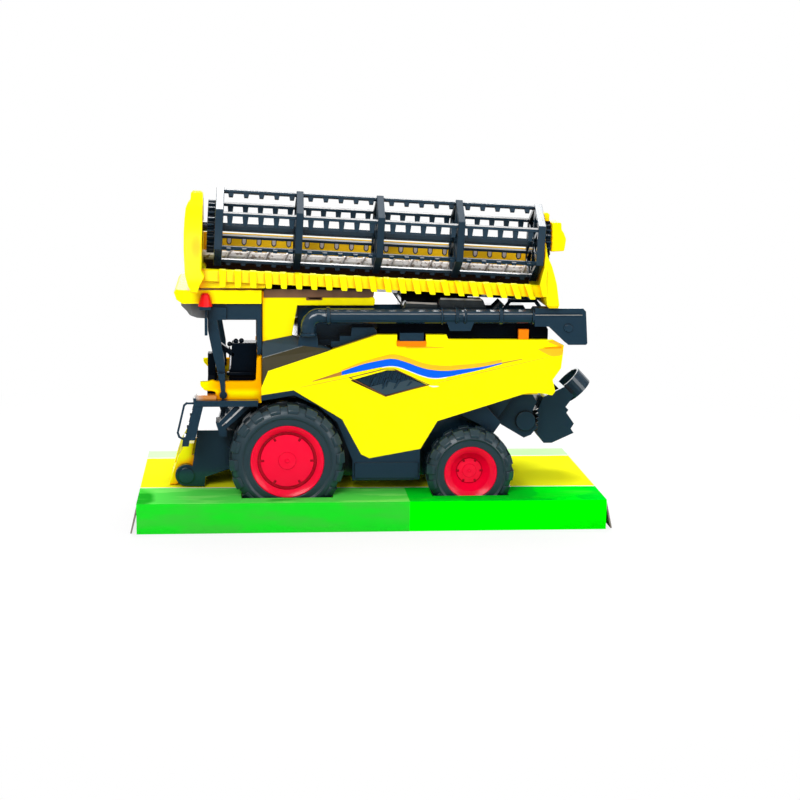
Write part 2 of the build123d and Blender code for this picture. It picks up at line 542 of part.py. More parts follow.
# ---------------------------------------------------------------- rear chute on its bracket
bracket_outline = [(69.0, 62.0), (72.0, 75.0), (96.0, 75.0), (101.2, 66.0), (98.6, 60.0), (101.6, 50.0),
                   (98.2, 45.8), (93.9, 44.0), (80.0, 52.2)]
bracket = None
for side in (-1, 1):
    y0, y1 = sorted((side * (CHUTE_HALF + 2.0), side * (CHUTE_HALF + 6.0)))
    cheek = side_prism(bracket_outline, y0, y1)
    cheek -= rod_y(CHUTE_PIVOT_X, CHUTE_PIVOT_Z, CHUTE_PIN_R + RUNNING_CLEARANCE, y0 - 1, y1 + 1)
    bracket = cheek if bracket is None else bracket + cheek
bracket += side_prism([(69.0, 62.0), (72.0, 75.0), (86.0, 75.0), (84.0, 66.0), (78.0, 58.0)],
                      -CHUTE_HALF - 2.0, CHUTE_HALF + 2.0)
bracket -= chassis
bracket -= core
save(bracket, "chute_bracket")
chute = side_prism([
    (103.4, 60.5), (103.4, 44.5), (107.2, 39.4), (112.1, 39.4), (125.5, 45.5), (123.7, 48.2),
    (125.5, 51.3), (120.7, 58.0), (121.9, 59.8), (120.1, 61.6), (124.9, 68.3), (119.0, 74.0),
    (106.0, 67.7),
], -CHUTE_HALF, CHUTE_HALF)
chute -= side_prism([
    (107.5, 68.0), (111.6, 61.0), (112.7, 51.3), (120.0, 51.9), (116.0, 66.5), (116.0, 76.0),
], -CHUTE_HALF + 2.2, CHUTE_HALF - 2.2)
chute += block(CHUTE_PIVOT_X, 104.0, -8, 8, CHUTE_PIVOT_Z - 4, CHUTE_PIVOT_Z + 4)
boss = extrude(RegularPolygon(6.0, 20), amount=CHUTE_HALF + 1.6, both=True)
chute += Pos(CHUTE_PIVOT_X, 0, CHUTE_PIVOT_Z) * Rot(90, 0, 0) * boss
chute += rod_y(CHUTE_PIVOT_X, CHUTE_PIVOT_Z, CHUTE_PIN_R, -CHUTE_HALF - 7.4, CHUTE_HALF + 7.4)
for side in (-1, 1):
    y0, y1 = sorted((side * (CHUTE_HALF + 6.3), side * (CHUTE_HALF + 8.0)))
    cap = extrude(RegularPolygon(5.8, 20), amount=y1 - y0)
    chute += Pos(CHUTE_PIVOT_X, y1, CHUTE_PIVOT_Z) * Rot(90, 0, 0) * cap
    for i in range(6):
        z = 46.6 + 2.6 * i
        y0, y1 = sorted((side * (CHUTE_HALF - 2.0), side * CHUTE_HALF))
        chute += side_prism([(103.4, z - 1.0), (101.8, z + 0.2), (103.4, z + 1.0)], y0, y1)
save(chute, "rear_chute")
hoop_place = Pos(126.4, 0, 72.8) * Rot(0, -43.5, 0)
hoop = hoop_place * (extrude(RegularPolygon(9.5, 28), amount=5.3, both=True) - extrude(
    RegularPolygon(8.3, 28), amount=6.0, both=True))
hoop_neck = side_prism([(116.0, 70.0), (119.0, 66.0), (125.0, 64.5), (127.0, 68.0), (120.0, 75.0)], -6, 6)
hoop += hoop_neck - hoop_place * Cylinder(9.3, 30.0)
hoop -= chute
hoop = max(hoop.solids(), key=lambda piece: piece.volume)
save(hoop, "chute_hoop")

# ---------------------------------------------------------------- header, built level and then tilted
# Local y is forward-to-back (cutter side negative) and z up, both measured from the reel's axis.
LEFT_PLATE = (-110.0, -101.2)
RIGHT_PLATE = (97.9, 100.6)
back_wall = end_prism([
    (30.0, -31.6), (32.0, -33.0), (33.5, -30.0), (36.5, -23.0), (37.6, -6.5), (35.8, -6.5), (34.6, -22.6),
    (32.0, -28.6),
], LEFT_PLATE[1], RIGHT_PLATE[0])
back_wall = tilt * back_wall
back_wall -= lid
save(back_wall, "header_back")
trough = end_prism([
    (-15.0, -30.0), (2.0, HEADER_FLOOR), (28.0, HEADER_FLOOR), (32.0, -33.0), (30.0, -31.6), (27.0, -31.6),
    (2.4, -31.6), (-13.0, -27.6),
], LEFT_PLATE[1], RIGHT_PLATE[0])
trough = tilt * trough
trough -= lid
save(trough, "header_trough")
cutter = end_prism([(-13.0, -22.9), (-12.2, -24.4), (-13.0, -27.6), (-15.0, -30.0), (-17.0, -29.8),
                    (-14.6, -23.6)], LEFT_PLATE[1], RIGHT_PLATE[0])
first_finger = -92.4
fingers = []
for i in range(22):
    x = first_finger + 8.6 * i
    fingers.append(end_prism([(-13.6, -22.9), (-15.4, -23.0), (-21.4, -32.6), (-20.6, -33.6), (-15.8, -29.9)],
                             x - 2.1, x + 2.1))
cutter = cutter + fingers
save(tilt * cutter, "cutter_bar")
SCREW_Y = 26.0
SCREW_Z = -23.2
screw = Pos(LEFT_PLATE[1], SCREW_Y, SCREW_Z) * Rot(0, 90, 0) * extrude(
    RegularPolygon(3.6, 8), amount=RIGHT_PLATE[0] - LEFT_PLATE[1])
for i in range(16):
    x = -95.0 + 11.8 * i
    lean = 24 if x < 0 else -24
    flight = extrude(RegularPolygon(7.4, 10), amount=0.6, both=True)
    screw += Pos(x, SCREW_Y, SCREW_Z) * Rot(0, 90 + lean, 0) * flight
save(tilt * screw, "header_screw")
plate_outline = [
    (-26.0, HEADER_BASE), (-27.5, -30.0), (-22.0, -14.0), (-16.0, 2.0), (-8.0, 12.0), (6.0, 15.0),
    (18.0, 11.0), (36.0, -4.0), (39.5, -10.0), (38.0, -28.0), (34.0, HEADER_BASE),
]
for node, (x0, x1) in (("header_end_left", LEFT_PLATE), ("header_end_right", RIGHT_PLATE)):
    plate = end_prism(plate_outline, x0, x1)
    plate -= rod_x(0, 0, REEL_SHAFT_R + RUNNING_CLEARANCE, x0 - 1, x1 + 1)
    plate = tilt * plate
    plate -= roof
    plate -= spout
    save(plate, node)
gearbox = side_prism([(RIGHT_PLATE[1], 7.6), (104.4, 7.6), (105.0, 2.8), (107.2, -3.2), (106.0, -9.4),
                      (RIGHT_PLATE[1], -9.4)], -12.0, 8.0)
save(tilt * gearbox, "header_gearbox")
spider_table = (
    # local x, thickness
    (-REEL_HALF + 2.2, 4.4),
    (-REEL_HALF / 2, 3.0),
    (0.0, 3.0),
    (REEL_HALF / 2, 3.0),
    (REEL_HALF - 2.2, 4.4),
)
BAR_RING = REEL_R - 1.8
TINE_PITCH = 8.65
TOP_BAR_SWING = 57.0
TINE_HALF = 1.6
bay = REEL_HALF / 2
BAR_HALF = 1.1
TINE_TIP = -4.6
comb_points = [(0.5 - REEL_HALF, BAR_HALF), (0.5 - REEL_HALF, -BAR_HALF)]
for k in range(4):
    for j in range(5):
        x = -REEL_HALF + bay * k + bay / 2 + (j - 2) * TINE_PITCH
        comb_points += [(x - TINE_HALF, -BAR_HALF), (x - TINE_HALF, TINE_TIP), (x + TINE_HALF, TINE_TIP),
                        (x + TINE_HALF, -BAR_HALF)]
comb_points += [(REEL_HALF - 0.5, -BAR_HALF), (REEL_HALF - 0.5, BAR_HALF)]
comb = side_prism(comb_points, -BAR_HALF, BAR_HALF)
reel_parts = []
for x, thick in spider_table:
    plate = RegularPolygon(REEL_R, 6) - RegularPolygon(REEL_R - 3.4, 6) + RegularPolygon(5.6, 12)
    for i in range(3):
        plate += Rot(0, 0, 60 * i) * Rectangle(2 * REEL_R - 4.0, 2.8)
    reel_parts.append(Pos(x, 0, 0) * Rot(0, 90, 0) * extrude(plate, amount=thick / 2, both=True))
for i in range(6):
    arm = Vector(0, 0, BAR_RING).rotate(Axis.X, 60 * i)
    swing = TOP_BAR_SWING if i == 0 else 0.0
    reel_parts.append(Pos(0, arm.Y, arm.Z) * Rot(swing, 0, 0) * comb)
reel = reel_parts[0] + reel_parts[1:]
spine_shape = RegularPolygon(2.6, 8)
reel -= Pos(-REEL_HALF - 1, 0, 0) * Rot(0, 90, 0) * extrude(spine_shape, amount=2 * REEL_HALF + 2)
save(tilt * reel, "reel")
shaft = Pos(-REEL_HALF, 0, 0) * Rot(0, 90, 0) * extrude(spine_shape, amount=2 * REEL_HALF)
GEAR_TEETH = 24
GEAR_OUT = 15.2
GEAR_ROOT = 13.4
for side, plate_in in ((-1, LEFT_PLATE[1]), (1, RIGHT_PLATE[0])):
    x0, x1 = sorted((side * REEL_HALF, plate_in - side * 0.4))
    gear = facets(lug_ring(GEAR_TEETH, GEAR_OUT, GEAR_ROOT, 0.0),
                  lug_ring(GEAR_TEETH, GEAR_OUT, GEAR_ROOT, 0.0, x1 - x0))
    shaft += Pos(x0, 0, 0) * Rot(0, 90, 0) * gear
    x0, x1 = sorted((side * REEL_HALF, plate_in + side * 2.6))
    shaft += rod_x(0, 0, REEL_SHAFT_R, x0, x1)
save(tilt * shaft, "reel_shaft")
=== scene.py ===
import math
import bmesh
import bpy
from mathutils import Matrix, Vector


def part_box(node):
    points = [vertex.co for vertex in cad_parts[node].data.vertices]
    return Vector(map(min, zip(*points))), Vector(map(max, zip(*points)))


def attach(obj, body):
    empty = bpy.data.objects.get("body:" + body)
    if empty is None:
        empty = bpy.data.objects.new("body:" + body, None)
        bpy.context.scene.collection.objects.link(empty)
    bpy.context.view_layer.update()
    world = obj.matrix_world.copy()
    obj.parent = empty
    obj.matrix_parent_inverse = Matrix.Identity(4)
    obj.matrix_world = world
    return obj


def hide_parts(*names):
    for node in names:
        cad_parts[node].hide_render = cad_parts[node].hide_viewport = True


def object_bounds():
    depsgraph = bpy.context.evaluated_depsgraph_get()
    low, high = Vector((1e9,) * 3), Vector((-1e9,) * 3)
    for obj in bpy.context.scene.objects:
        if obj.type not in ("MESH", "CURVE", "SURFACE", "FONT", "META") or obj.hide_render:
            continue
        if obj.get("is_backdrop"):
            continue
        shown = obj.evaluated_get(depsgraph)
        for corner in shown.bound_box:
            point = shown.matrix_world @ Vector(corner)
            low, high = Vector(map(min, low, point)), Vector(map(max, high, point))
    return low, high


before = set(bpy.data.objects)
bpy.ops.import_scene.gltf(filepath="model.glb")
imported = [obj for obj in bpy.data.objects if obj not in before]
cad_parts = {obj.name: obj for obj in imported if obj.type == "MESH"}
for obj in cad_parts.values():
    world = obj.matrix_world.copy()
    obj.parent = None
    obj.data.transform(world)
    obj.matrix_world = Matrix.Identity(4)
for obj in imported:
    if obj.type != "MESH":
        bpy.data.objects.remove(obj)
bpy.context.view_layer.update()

mm = 0.001

# ------------------------------------------------------------------ viewpoint
# The toy stands on a table a little below the eye, seen nearly square to its left side from
# about a metre away, through a short telephoto lens.
viewer = bpy.data.objects.new("viewer", bpy.data.cameras.new("viewer"))
bpy.context.scene.collection.objects.link(viewer)
viewer.location = Vector((-75.6, -1008.7, 253.1)) * mm
viewer.rotation_euler = (1.3860, -0.0129, -0.0926)
viewer.data.sensor_width = 36.0
viewer.data.lens = 76.23
viewer.data.clip_start = 0.05
bpy.context.scene.camera = viewer

# ------------------------------------------------------------------ studio
# A white sweep of paper under big soft lamps. The paper is whiter to the lens and in reflections
# than its light on the toy, so the background stays clean and the plastic keeps its own colours.
scene = bpy.context.scene
scene.view_settings.view_transform = "Standard"


class Wire:
    """One value or colour on its way through a material; sums on it become nodes."""

    def __init__(self, finish, socket):
        self.finish = finish
        self.socket = socket

    def sum(self, operation, other, flip=False):
        pair = {0: other, 1: self} if flip else {0: self, 1: other}
        return self.finish.add("ShaderNodeMath", {"operation": operation}, pair)

    def __add__(self, other):
        return self.sum("ADD", other)

    def __sub__(self, other):
        return self.sum("SUBTRACT", other)

    def __mul__(self, other):
        return self.sum("MULTIPLY", other)

    def __gt__(self, other):
        return self.sum("GREATER_THAN", other)

    def __lt__(self, other):
        return self.sum("LESS_THAN", other)

    def __rsub__(self, other):
        return self.sum("SUBTRACT", other, flip=True)

    __radd__ = __add__
    __rmul__ = __mul__


class Finish:
    """A material being mixed: its nodes, and the sockets of its one main shader."""

    def __init__(self, name, **sockets):
        self.material = bpy.data.materials.new(name)
        self.material.use_nodes = True
        self.tree = self.material.node_tree
        self.shader = self.tree.nodes["Principled BSDF"]
        self.set(**sockets)

    def feed(self, socket, value):
        if isinstance(value, Wire):
            self.tree.links.new(value.socket, socket)
        elif hasattr(value, "__len__") and len(value) == 3 and socket.type == "RGBA":
            socket.default_value = (*value, 1.0)
        else:
            socket.default_value = value

    def add(self, kind, settings=None, sockets=None, out=0):
        node = self.tree.nodes.new(kind)
        for key, value in (settings or {}).items():
            setattr(node, key, value)
        for key, value in (sockets or {}).items():
            self.feed(node.inputs[key], value)
        return Wire(self, node.outputs[out])

    def set(self, **sockets):
        for key, value in sockets.items():
            self.feed(self.shader.inputs[key.replace("_", " ")], value)

    def colour_now(self):
        return Wire(self, self.shader.inputs["Base Color"].links[0].from_socket)

    def upward(self):
        normal = self.add("ShaderNodeNewGeometry", out="Normal")
        return self.add("ShaderNodeSeparateXYZ", sockets={0: normal}, out="Z")

    def place(self, axis=None):
        where = self.add("ShaderNodeTexCoord", out="Object")
        if axis is None:
            return where
        return self.add("ShaderNodeSeparateXYZ", sockets={0: where}, out=axis)

    def noise(self, scale, detail=2.0, where=None):
        return self.add("ShaderNodeTexNoise", sockets={"Vector": where or self.place(), "Scale": scale,
                                                       "Detail": detail}, out=0)

    def ease(self, value, low, high):
        return self.add("ShaderNodeMapRange", {"interpolation_type": "SMOOTHSTEP"},
                        {"Value": value, "From Min": low, "From Max": high})

    def mix(self, mask, under, over):
        return self.add("ShaderNodeMix", {"data_type": "RGBA"}, {0: mask, 6: under, 7: over}, out=2)

    def bump(self, height, depth, strength=1.0):
        self.set(Normal=self.add("ShaderNodeBump", sockets={"Height": height, "Distance": depth,
                                                            "Strength": strength}))


paper = Finish("studio_paper", Base_Color=(0.80, 0.80, 0.80), Roughness=0.95)
paper.set(Specular_IOR_Level=0.0)
to_lens = paper.add("ShaderNodeLightPath", out="Is Camera Ray")
to_gloss = paper.add("ShaderNodeLightPath", out="Is Glossy Ray")
from_toy = paper.add("ShaderNodeVectorMath", {"operation": "LENGTH"}, {0: paper.place()}, out=1)
# How much of the paper is its own glow rather than lit card, to the lens and in reflections.
lens_share = 0.86 + 0.14 * paper.ease(from_toy, 0.20, 0.45)
GLOSS_SHARE = 0.96
shine = to_lens + to_gloss * (0.03 + 0.97 * paper.ease(from_toy, 1.0, 1.9))
bright = paper.add("ShaderNodeEmission", sockets={"Color": (1.0, 1.0, 1.0), "Strength": shine})
blend = paper.add("ShaderNodeMixShader", sockets={0: to_lens * lens_share + to_gloss * GLOSS_SHARE})
paper.tree.links.new(paper.shader.outputs[0], blend.socket.node.inputs[1])
paper.tree.links.new(bright.socket, blend.socket.node.inputs[2])
paper.tree.links.new(blend.socket, paper.tree.nodes["Material Output"].inputs["Surface"])

# The sweep runs back level, bends up and stands behind the toy; all in metres.
NEAR_EDGE = -2.0
BEND_START = 1.6
BEND_RADIUS = 0.8
SWEEP_HEIGHT = 3.0
SWEEP_HALF = 4.0
sweep_shape = bmesh.new()
sweep_line = [(NEAR_EDGE, 0.0), (BEND_START, 0.0)]
bend = [math.radians(a) for a in range(10, 91, 10)]
sweep_line += [(BEND_START + BEND_RADIUS * math.sin(a), BEND_RADIUS * (1 - math.cos(a))) for a in bend]
sweep_line += [(BEND_START + BEND_RADIUS, SWEEP_HEIGHT)]
rows = [[sweep_shape.verts.new((x, y, z)) for y, z in sweep_line] for x in (-SWEEP_HALF, SWEEP_HALF)]
for i in range(len(sweep_line) - 1):
    sweep_shape.faces.new((rows[0][i], rows[1][i], rows[1][i + 1], rows[0][i + 1]))
sweep = bpy.data.objects.new("studio_sweep", bpy.data.meshes.new("studio_sweep"))
sweep_shape.to_mesh(sweep.data)
sweep_shape.free()
for face in sweep.data.polygons:
    face.use_smooth = True
sweep.data.materials.append(paper.material)
scene.collection.objects.link(sweep)
sweep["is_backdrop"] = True

LAMP_AIM = Vector((0.0, 0.0, 0.09))
lamp_table = (
    # name, place, size, watts, colour
    ("key_lamp", (-0.50, -1.30, 0.95), 0.7, 13.0, (1.0, 1.0, 1.0)),
    ("fill_lamp", (1.10, -1.10, 0.50), 0.8, 6.0, (1.0, 1.0, 1.0)),
    ("top_lamp", (0.05, 0.32, 1.25), 0.6, 14.0, (1.0, 1.0, 1.0)),
    ("back_lamp", (0.20, 1.30, 0.70), 1.0, 6.0, (1.0, 1.0, 1.0)),
)
for name, spot, size, watts, colour in lamp_table:
    lamp = bpy.data.objects.new(name, bpy.data.lights.new(name, "AREA"))
    lamp.data.size = size
    lamp.data.energy = watts
    lamp.data.color = colour
    lamp.location = spot
    lamp.rotation_euler = (LAMP_AIM - lamp.location).to_track_quat("-Z", "Y").to_euler()
    scene.collection.objects.link(lamp)


class Air(Finish):
    """The world's light, mixed from nodes like a finish."""

    def __init__(self, name):
        self.world = bpy.data.worlds.new(name)
        self.world.use_nodes = True
        self.tree = self.world.node_tree
        self.shader = self.tree.nodes["Background"]


# The air gives a plain grey light. It is dim low down in reflections, so that black plastic stays
# black, and white where the lens sees it.
AIR_LIGHT = 0.40
air = Air("studio_air")
scene.world = air.world
aloft = air.add("ShaderNodeSeparateXYZ", sockets={0: air.add("ShaderNodeTexCoord", out="Generated")}, out="Z")
room = air.add("ShaderNodeMapRange", {"interpolation_type": "SMOOTHSTEP"},
               {"Value": aloft, "From Min": -0.1, "From Max": 0.8, "To Min": 0.12, "To Max": 0.5})
light = air.add("ShaderNodeMix", {"data_type": "FLOAT"},
                {0: air.add("ShaderNodeLightPath", out="Is Glossy Ray"), 2: AIR_LIGHT, 3: room})
light = air.add("ShaderNodeMix", {"data_type": "FLOAT"},
                {0: air.add("ShaderNodeLightPath", out="Is Camera Ray"), 2: light, 3: 1.0})
air.set(Color=(1.0, 1.0, 1.0), Strength=light)


# ------------------------------------------------------------------ yellow mouldings
# The shell of the toy: thick glossy plastic, injection moulded in one strong yellow, with warm orange
# painted shade in its hollows and where a face looks down. The edges are softly broken.
def soften(node, width, angle=32.0):
    """Breaks the sharp edges of a moulded piece, as its mould does."""
    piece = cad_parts[node]
    weld = piece.modifiers.new("weld", "WELD")
    weld.merge_threshold = 0.02 * mm
    edge = piece.modifiers.new("edge", "BEVEL")
    edge.width = width * mm
    edge.segments = 2
    edge.limit_method = "ANGLE"
    edge.angle_limit = math.radians(angle)
    return piece


def dress(node, finish, width=0.35, angle=32.0):
    """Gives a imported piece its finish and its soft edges."""
    piece = soften(node, width, angle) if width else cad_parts[node]
    piece.data.materials.clear()
    piece.data.materials.append(finish.material)
    return piece


def moulded(name, colour, corner, gloss=0.2, grain=0.02, coat=0.4, mirror=0.5, reach=10.0):
    """Glossy plastic: colour on open faces, the corner colour as painted shade in hollows and under faces, a
    fine skin.
    """
    skin = Finish(name, Coat_Roughness=0.06, IOR=1.5, Specular_IOR_Level=mirror)
    cloud = skin.noise(22.0, 3.0)
    fine = skin.noise(2200.0, 2.0)
    open_air = skin.add("ShaderNodeAmbientOcclusion", {"samples": 8}, {"Distance": reach * mm}, out="AO")
    # Hollows found by ambient occlusion, and faces that look down, take the corner colour: painted shade.
    under = skin.ease(skin.upward() * -1.0, 0.15, 0.9) * 0.55
    hollow_shade = 1.0 - skin.ease(open_air, 0.35, 0.97)
    painted_shade = skin.add("ShaderNodeMath", {"operation": "MAXIMUM"}, {0: hollow_shade, 1: under})
    tone = skin.mix(painted_shade, colour, corner)
    tone = skin.mix(skin.ease(cloud, 0.4, 0.8) * 0.3, tone, [c * 0.9 for c in colour])
    patchy = gloss + 0.08 * (cloud - 0.5) + 0.05 * (fine - 0.5)
    skin.set(Base_Color=tone, Roughness=patchy, Coat_Weight=coat)
    skin.bump(fine * 0.4 + cloud * 3.0, grain * mm)
    return skin


YELLOW = (1.0, 0.92, 0.0)
yellow = moulded("yellow_plastic", YELLOW, (1.0, 0.30, 0.0), gloss=0.28, coat=0.04, mirror=0.06, reach=5.0)
for node in ("side_panel_left", "side_panel_right", "body_core", "grain_tank", "cab_roof", "coupler_plate"):
    dress(node, yellow)

# ------------------------------------------------------------------ black mouldings
# Chassis, cab frame, engine deck, auger and reel: the same plastic in a blue black, polished
# enough to carry a pale highlight along every ridge.
BLUE_BLACK = (0.011, 0.033, 0.056)
# The corner colour of the black plastics is their painted shade in hollows and under faces.
BLACK_PAINTED_SHADE = (0.001, 0.005, 0.010)
black = moulded("black_plastic", BLUE_BLACK, BLACK_PAINTED_SHADE, gloss=0.16, coat=0.25)
black_nodes = ("chassis", "fender_left", "fender_right", "engine_deck", "exhaust_pipe", "carry_handle",
               "cab_frame", "mirror_left", "mirror_right", "platform", "ladder", "feeder_house",
               "auger_tube", "auger_spout", "chute_bracket", "rear_chute", "chute_hoop", "header_trough")
for node in black_nodes:
    dress(node, black, 0.25)

# ------------------------------------------------------------------ small coloured mouldings
# Latches, beacons, roof lamps and tank lid, each run in its own colour of the same plastic, and
# the drawn steel wire of the two axles.
orange = moulded("orange_plastic", (0.88, 0.22, 0.0), (0.55, 0.07, 0.0), gloss=0.3, coat=0.05, mirror=0.1)
red_glow = moulded("beacon_red", (0.86, 0.004, 0.006), (0.5, 0.0, 0.0), gloss=0.3, coat=0.05, mirror=0.15)
brown = moulded("lid_brown", (0.22, 0.105, 0.05), (0.03, 0.012, 0.006), gloss=0.36, coat=0.1)
silver = moulded("lamp_grey", (0.17, 0.18, 0.19), (0.05, 0.05, 0.06), gloss=0.16)
wire_steel = Finish("axle_steel", Base_Color=(0.6, 0.61, 0.63), Metallic=1.0)
drawn = wire_steel.noise(900.0, 2.0)
wire_steel.set(Roughness=0.28 + 0.15 * drawn)
for node, finish in (("latch_left", orange), ("latch_right", orange), ("auger_rest", orange),
                     ("beacon_left", red_glow), ("beacon_right", red_glow), ("tank_lid", brown),
                     ("roof_lamps", silver), ("front_axle", wire_steel), ("rear_axle", wire_steel)):
    dress(node, finish, 0.2)


# ------------------------------------------------------------------ tyres
# Soft black tyres moulded in one piece with two staggered rows of block lugs and a step in the
# wall where the rim's lip ends. They are stretched over the rims.
def piece_from(shape, name, finish, body, smooth=40.0):
    """Turns mesh work into a piece with a finish, on its body."""
    bmesh.ops.recalc_face_normals(shape, faces=shape.faces[:])
    data = bpy.data.meshes.new(name)
    shape.to_mesh(data)
    shape.free()
    piece = bpy.data.objects.new(name, data)
    scene.collection.objects.link(piece)
    data.materials.append(finish.material)
    if smooth:
        data.shade_smooth()
        data.set_sharp_from_angle(angle=math.radians(smooth))
    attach(piece, body)
    return piece


def skin_over(shape, rings):
    """Skins a run of equal rings of corners and caps its two ends."""
    shape.faces.new(rings[0])
    shape.faces.new(rings[-1][::-1])
    for near, far in zip(rings, rings[1:]):
        for k in range(len(near)):
            j = (k + 1) % len(near)
            shape.faces.new((near[k], near[j], far[j], far[k]))


def spin(shape, line, steps, centre, out, closed=True):
    """Turns a line of (along the axle, radius) pairs about the axle; out is +1 or -1."""
    rings = []
    for a, r in line:
        if r < 0.001:
            rings.append([shape.verts.new(centre + Vector((0.0, out * a, 0.0)) * mm)] * steps)
            continue
        turn = [2 * math.pi * k / steps for k in range(steps)]
        rings.append([shape.verts.new(centre + Vector((r * math.sin(t), out * a, r * math.cos(t))) * mm)
                      for t in turn])
    pairs = list(zip(rings, rings[1:]))
    if closed:
        pairs.append((rings[-1], rings[0]))
    for low_ring, high_ring in pairs:
        for k in range(steps):
            j = (k + 1) % steps
            corners = dict.fromkeys((low_ring[k], low_ring[j], high_ring[j], high_ring[k]))
            if len(corners) > 2:
                shape.faces.new(tuple(corners))


def axle_place(node):
    """Centre (in metres), outward sign, radius and half width (in millimetres) of a wheel's node."""
    low, high = (Vector(corner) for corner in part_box(node))
    centre = (low + high) / 2
    return centre, math.copysign(1.0, centre.y), (high.z - low.z) / 2 / mm, (high.y - low.y) / 2 / mm


tyre_rubber = moulded("tyre_black", (0.016, 0.040, 0.054), (0.005, 0.012, 0.018),
                      gloss=0.36, grain=0.05, coat=0.12)
tyre_table = (
    # end, lugs, lug depth, seat radius, turn from upright in degrees
    ("front", 18, 1.3, 21.3, 5.6),
    ("rear", 16, 1.1, 15.6, 4.2),
)
TYRE_STEPS = 108
# Half of a lug's width, and how far it leans over, as shares of the pitch between lugs.
LUG_SHARE = 0.30
LUG_LEAN = 0.10
for end, lugs, lug_depth, seat_r, turn in tyre_table:
    for side in ("left", "right"):
        node = f"{end}_tyre_{side}"
        centre, out, radius, half = axle_place(node)
        groove = radius - lug_depth
        wall = [(half - 1.0, seat_r), (half - 0.9, seat_r + 3.7), (half - 0.55, seat_r + 4.0),
                (half - 0.15, seat_r + 4.3), (half - 0.02, seat_r + 4.9), (half - 0.1, groove - 4.6),
                (half - 0.7, groove - 2.9), (half - 1.9, groove - 1.0), (half - 3.2, groove - 0.1),
                (half - 4.5, groove)]
        line = wall + [(-a, r) for a, r in reversed(wall)]
        shape = bmesh.new()
        spin(shape, line, TYRE_STEPS, centre, out)
        pitch = 2 * math.pi / lugs
        for row in (1, -1):
            lug_line = ((0.5, groove - 0.5), (0.5, radius - 0.02), (half - 3.0, radius - 0.02),
                        (half - 0.08, radius - 3.1), (half - 0.08, groove - 3.6), (half - 3.0, groove - 3.4))
            for i in range(lugs):
                middle = math.radians(turn) + pitch * (i + (0.0 if row > 0 else 0.5))
                slices = []
                for share in (-1.0, 0.0, 1.0):
                    ring = []
                    for a, r in lug_line:
                        lean = LUG_LEAN * pitch * (a / half - 0.5)
                        angle = middle + share * LUG_SHARE * pitch + lean
                        ring.append(shape.verts.new(centre + Vector((r * math.sin(angle), out * row * a,
                                                                     r * math.cos(angle))) * mm))
                    slices.append(ring)
                skin_over(shape, slices)
        tyre = piece_from(shape, f"{end}_tyre_{side}_skin", tyre_rubber, f"{end}_wheels", 28.0)
        worn = tyre.modifiers.new("worn", "BEVEL")
        worn.width = 0.3 * mm
        worn.segments = 2
        worn.limit_method = "ANGLE"
        worn.angle_limit = math.radians(40.0)
        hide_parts(node)

# ------------------------------------------------------------------ header
# The trough of the harvesting head: a cutter bar with leaning guard fingers, two end plates, the
# gearbox, a wall painted in shaded amber and painted dark at its foot as shadow, and the feed screw in
# front of it, painted pale as its highlight.
REEL_CENTRE = Vector((4.0, -30.0, 166.7))
HEADER_TILT = 2.7
tilted = Matrix.Translation(REEL_CENTRE * mm) @ Matrix.Rotation(math.radians(HEADER_TILT), 4, "Y")


def prism(shape, outline, low, high, axis="X", place=Matrix()):
    """Adds a solid of a flat outline between two distances along an axis, in millimetres."""
    ends = []
    for a in (low, high):
        ends.append([shape.verts.new(place @ (Vector((a, u, v) if axis == "X" else (u, a, v)) * mm))
                     for u, v in outline])
    skin_over(shape, ends)


def stack(shape, rows):
    """Adds a solid of level slices, rows of (z, x low, x high, y low, y high) in millimetres."""
    slices = []
    for z, x0, x1, y0, y1 in rows:
        corners = ((x0, y0, z), (x1, y0, z), (x1, y1, z), (x0, y1, z))
        slices.append([shape.verts.new(Vector(spot) * mm) for spot in corners])
    skin_over(shape, slices)


def block(shape, z0, z1, *sides):
    """Adds a plain box between two heights, with sides (x low, x high, y low, y high)."""
    stack(shape, ((z0, *sides), (z1, *sides)))


def round_outline(radius, count, centre=(0.0, 0.0), turn=0.0):
    """Points round a circle from its top on, turned by some degrees, for a solid's outline."""
    angles = [math.radians(360.0 * k / count + turn) for k in range(count)]
    return [(centre[0] + radius * math.sin(a), centre[1] + radius * math.cos(a)) for a in angles]


def rounded(piece, width, angle=30.0, segments=3):
    """Rounds the edges of a piece in mesh work."""
    edge = piece.modifiers.new("edge", "BEVEL")
    edge.width = width * mm
    edge.segments = segments
    edge.limit_method = "ANGLE"
    edge.angle_limit = math.radians(angle)
    return piece


guard_yellow = moulded("guard_yellow", YELLOW, (1.0, 0.34, 0.0), gloss=0.28, coat=0.04, mirror=0.12,
                       reach=5.0)
GUARDS = 22
GUARD_PITCH = 8.64
shape = bmesh.new()
prism(shape, [(-13.0, -22.9), (-12.2, -24.4), (-13.0, -27.6), (-15.0, -30.0), (-17.0, -29.8),
              (-14.6, -23.6)], -101.0, 97.9, place=tilted)
for i in range(GUARDS):
    # Towards the right the guards close up a little and lean further over.
    x = -88.9 + GUARD_PITCH * i - 0.0131 * i * i
    lean = 0.4 + 0.10 * i
    tip = -32.6 + 1.7 * math.sin(math.pi * min(i, 13) / 26)
    root = [(x - 2.1, -13.4, -22.6), (x + 2.1, -13.4, -22.6),
            (x + 2.1, -15.6, -23.2), (x - 2.1, -15.6, -23.2)]
    x += lean
    foot = [(x - 1.9, -17.0, -30.0), (x + 1.9, -17.0, -30.0), (x + 1.7, -21.2, tip), (x - 1.7, -21.2, tip)]
    skin_over(shape, [[shape.verts.new(tilted @ (Vector(spot) * mm)) for spot in corners]
                      for corners in (root, foot)])
cutter = piece_from(shape, "cutter_guards", guard_yellow, "machine_on_tray", 40.0)
rounded(cutter, 0.5)
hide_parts("cutter_bar")

plate_yellow = moulded("plate_yellow", YELLOW, (1.0, 0.36, 0.0), gloss=0.3, coat=0.04, mirror=0.12,
                       reach=6.0)
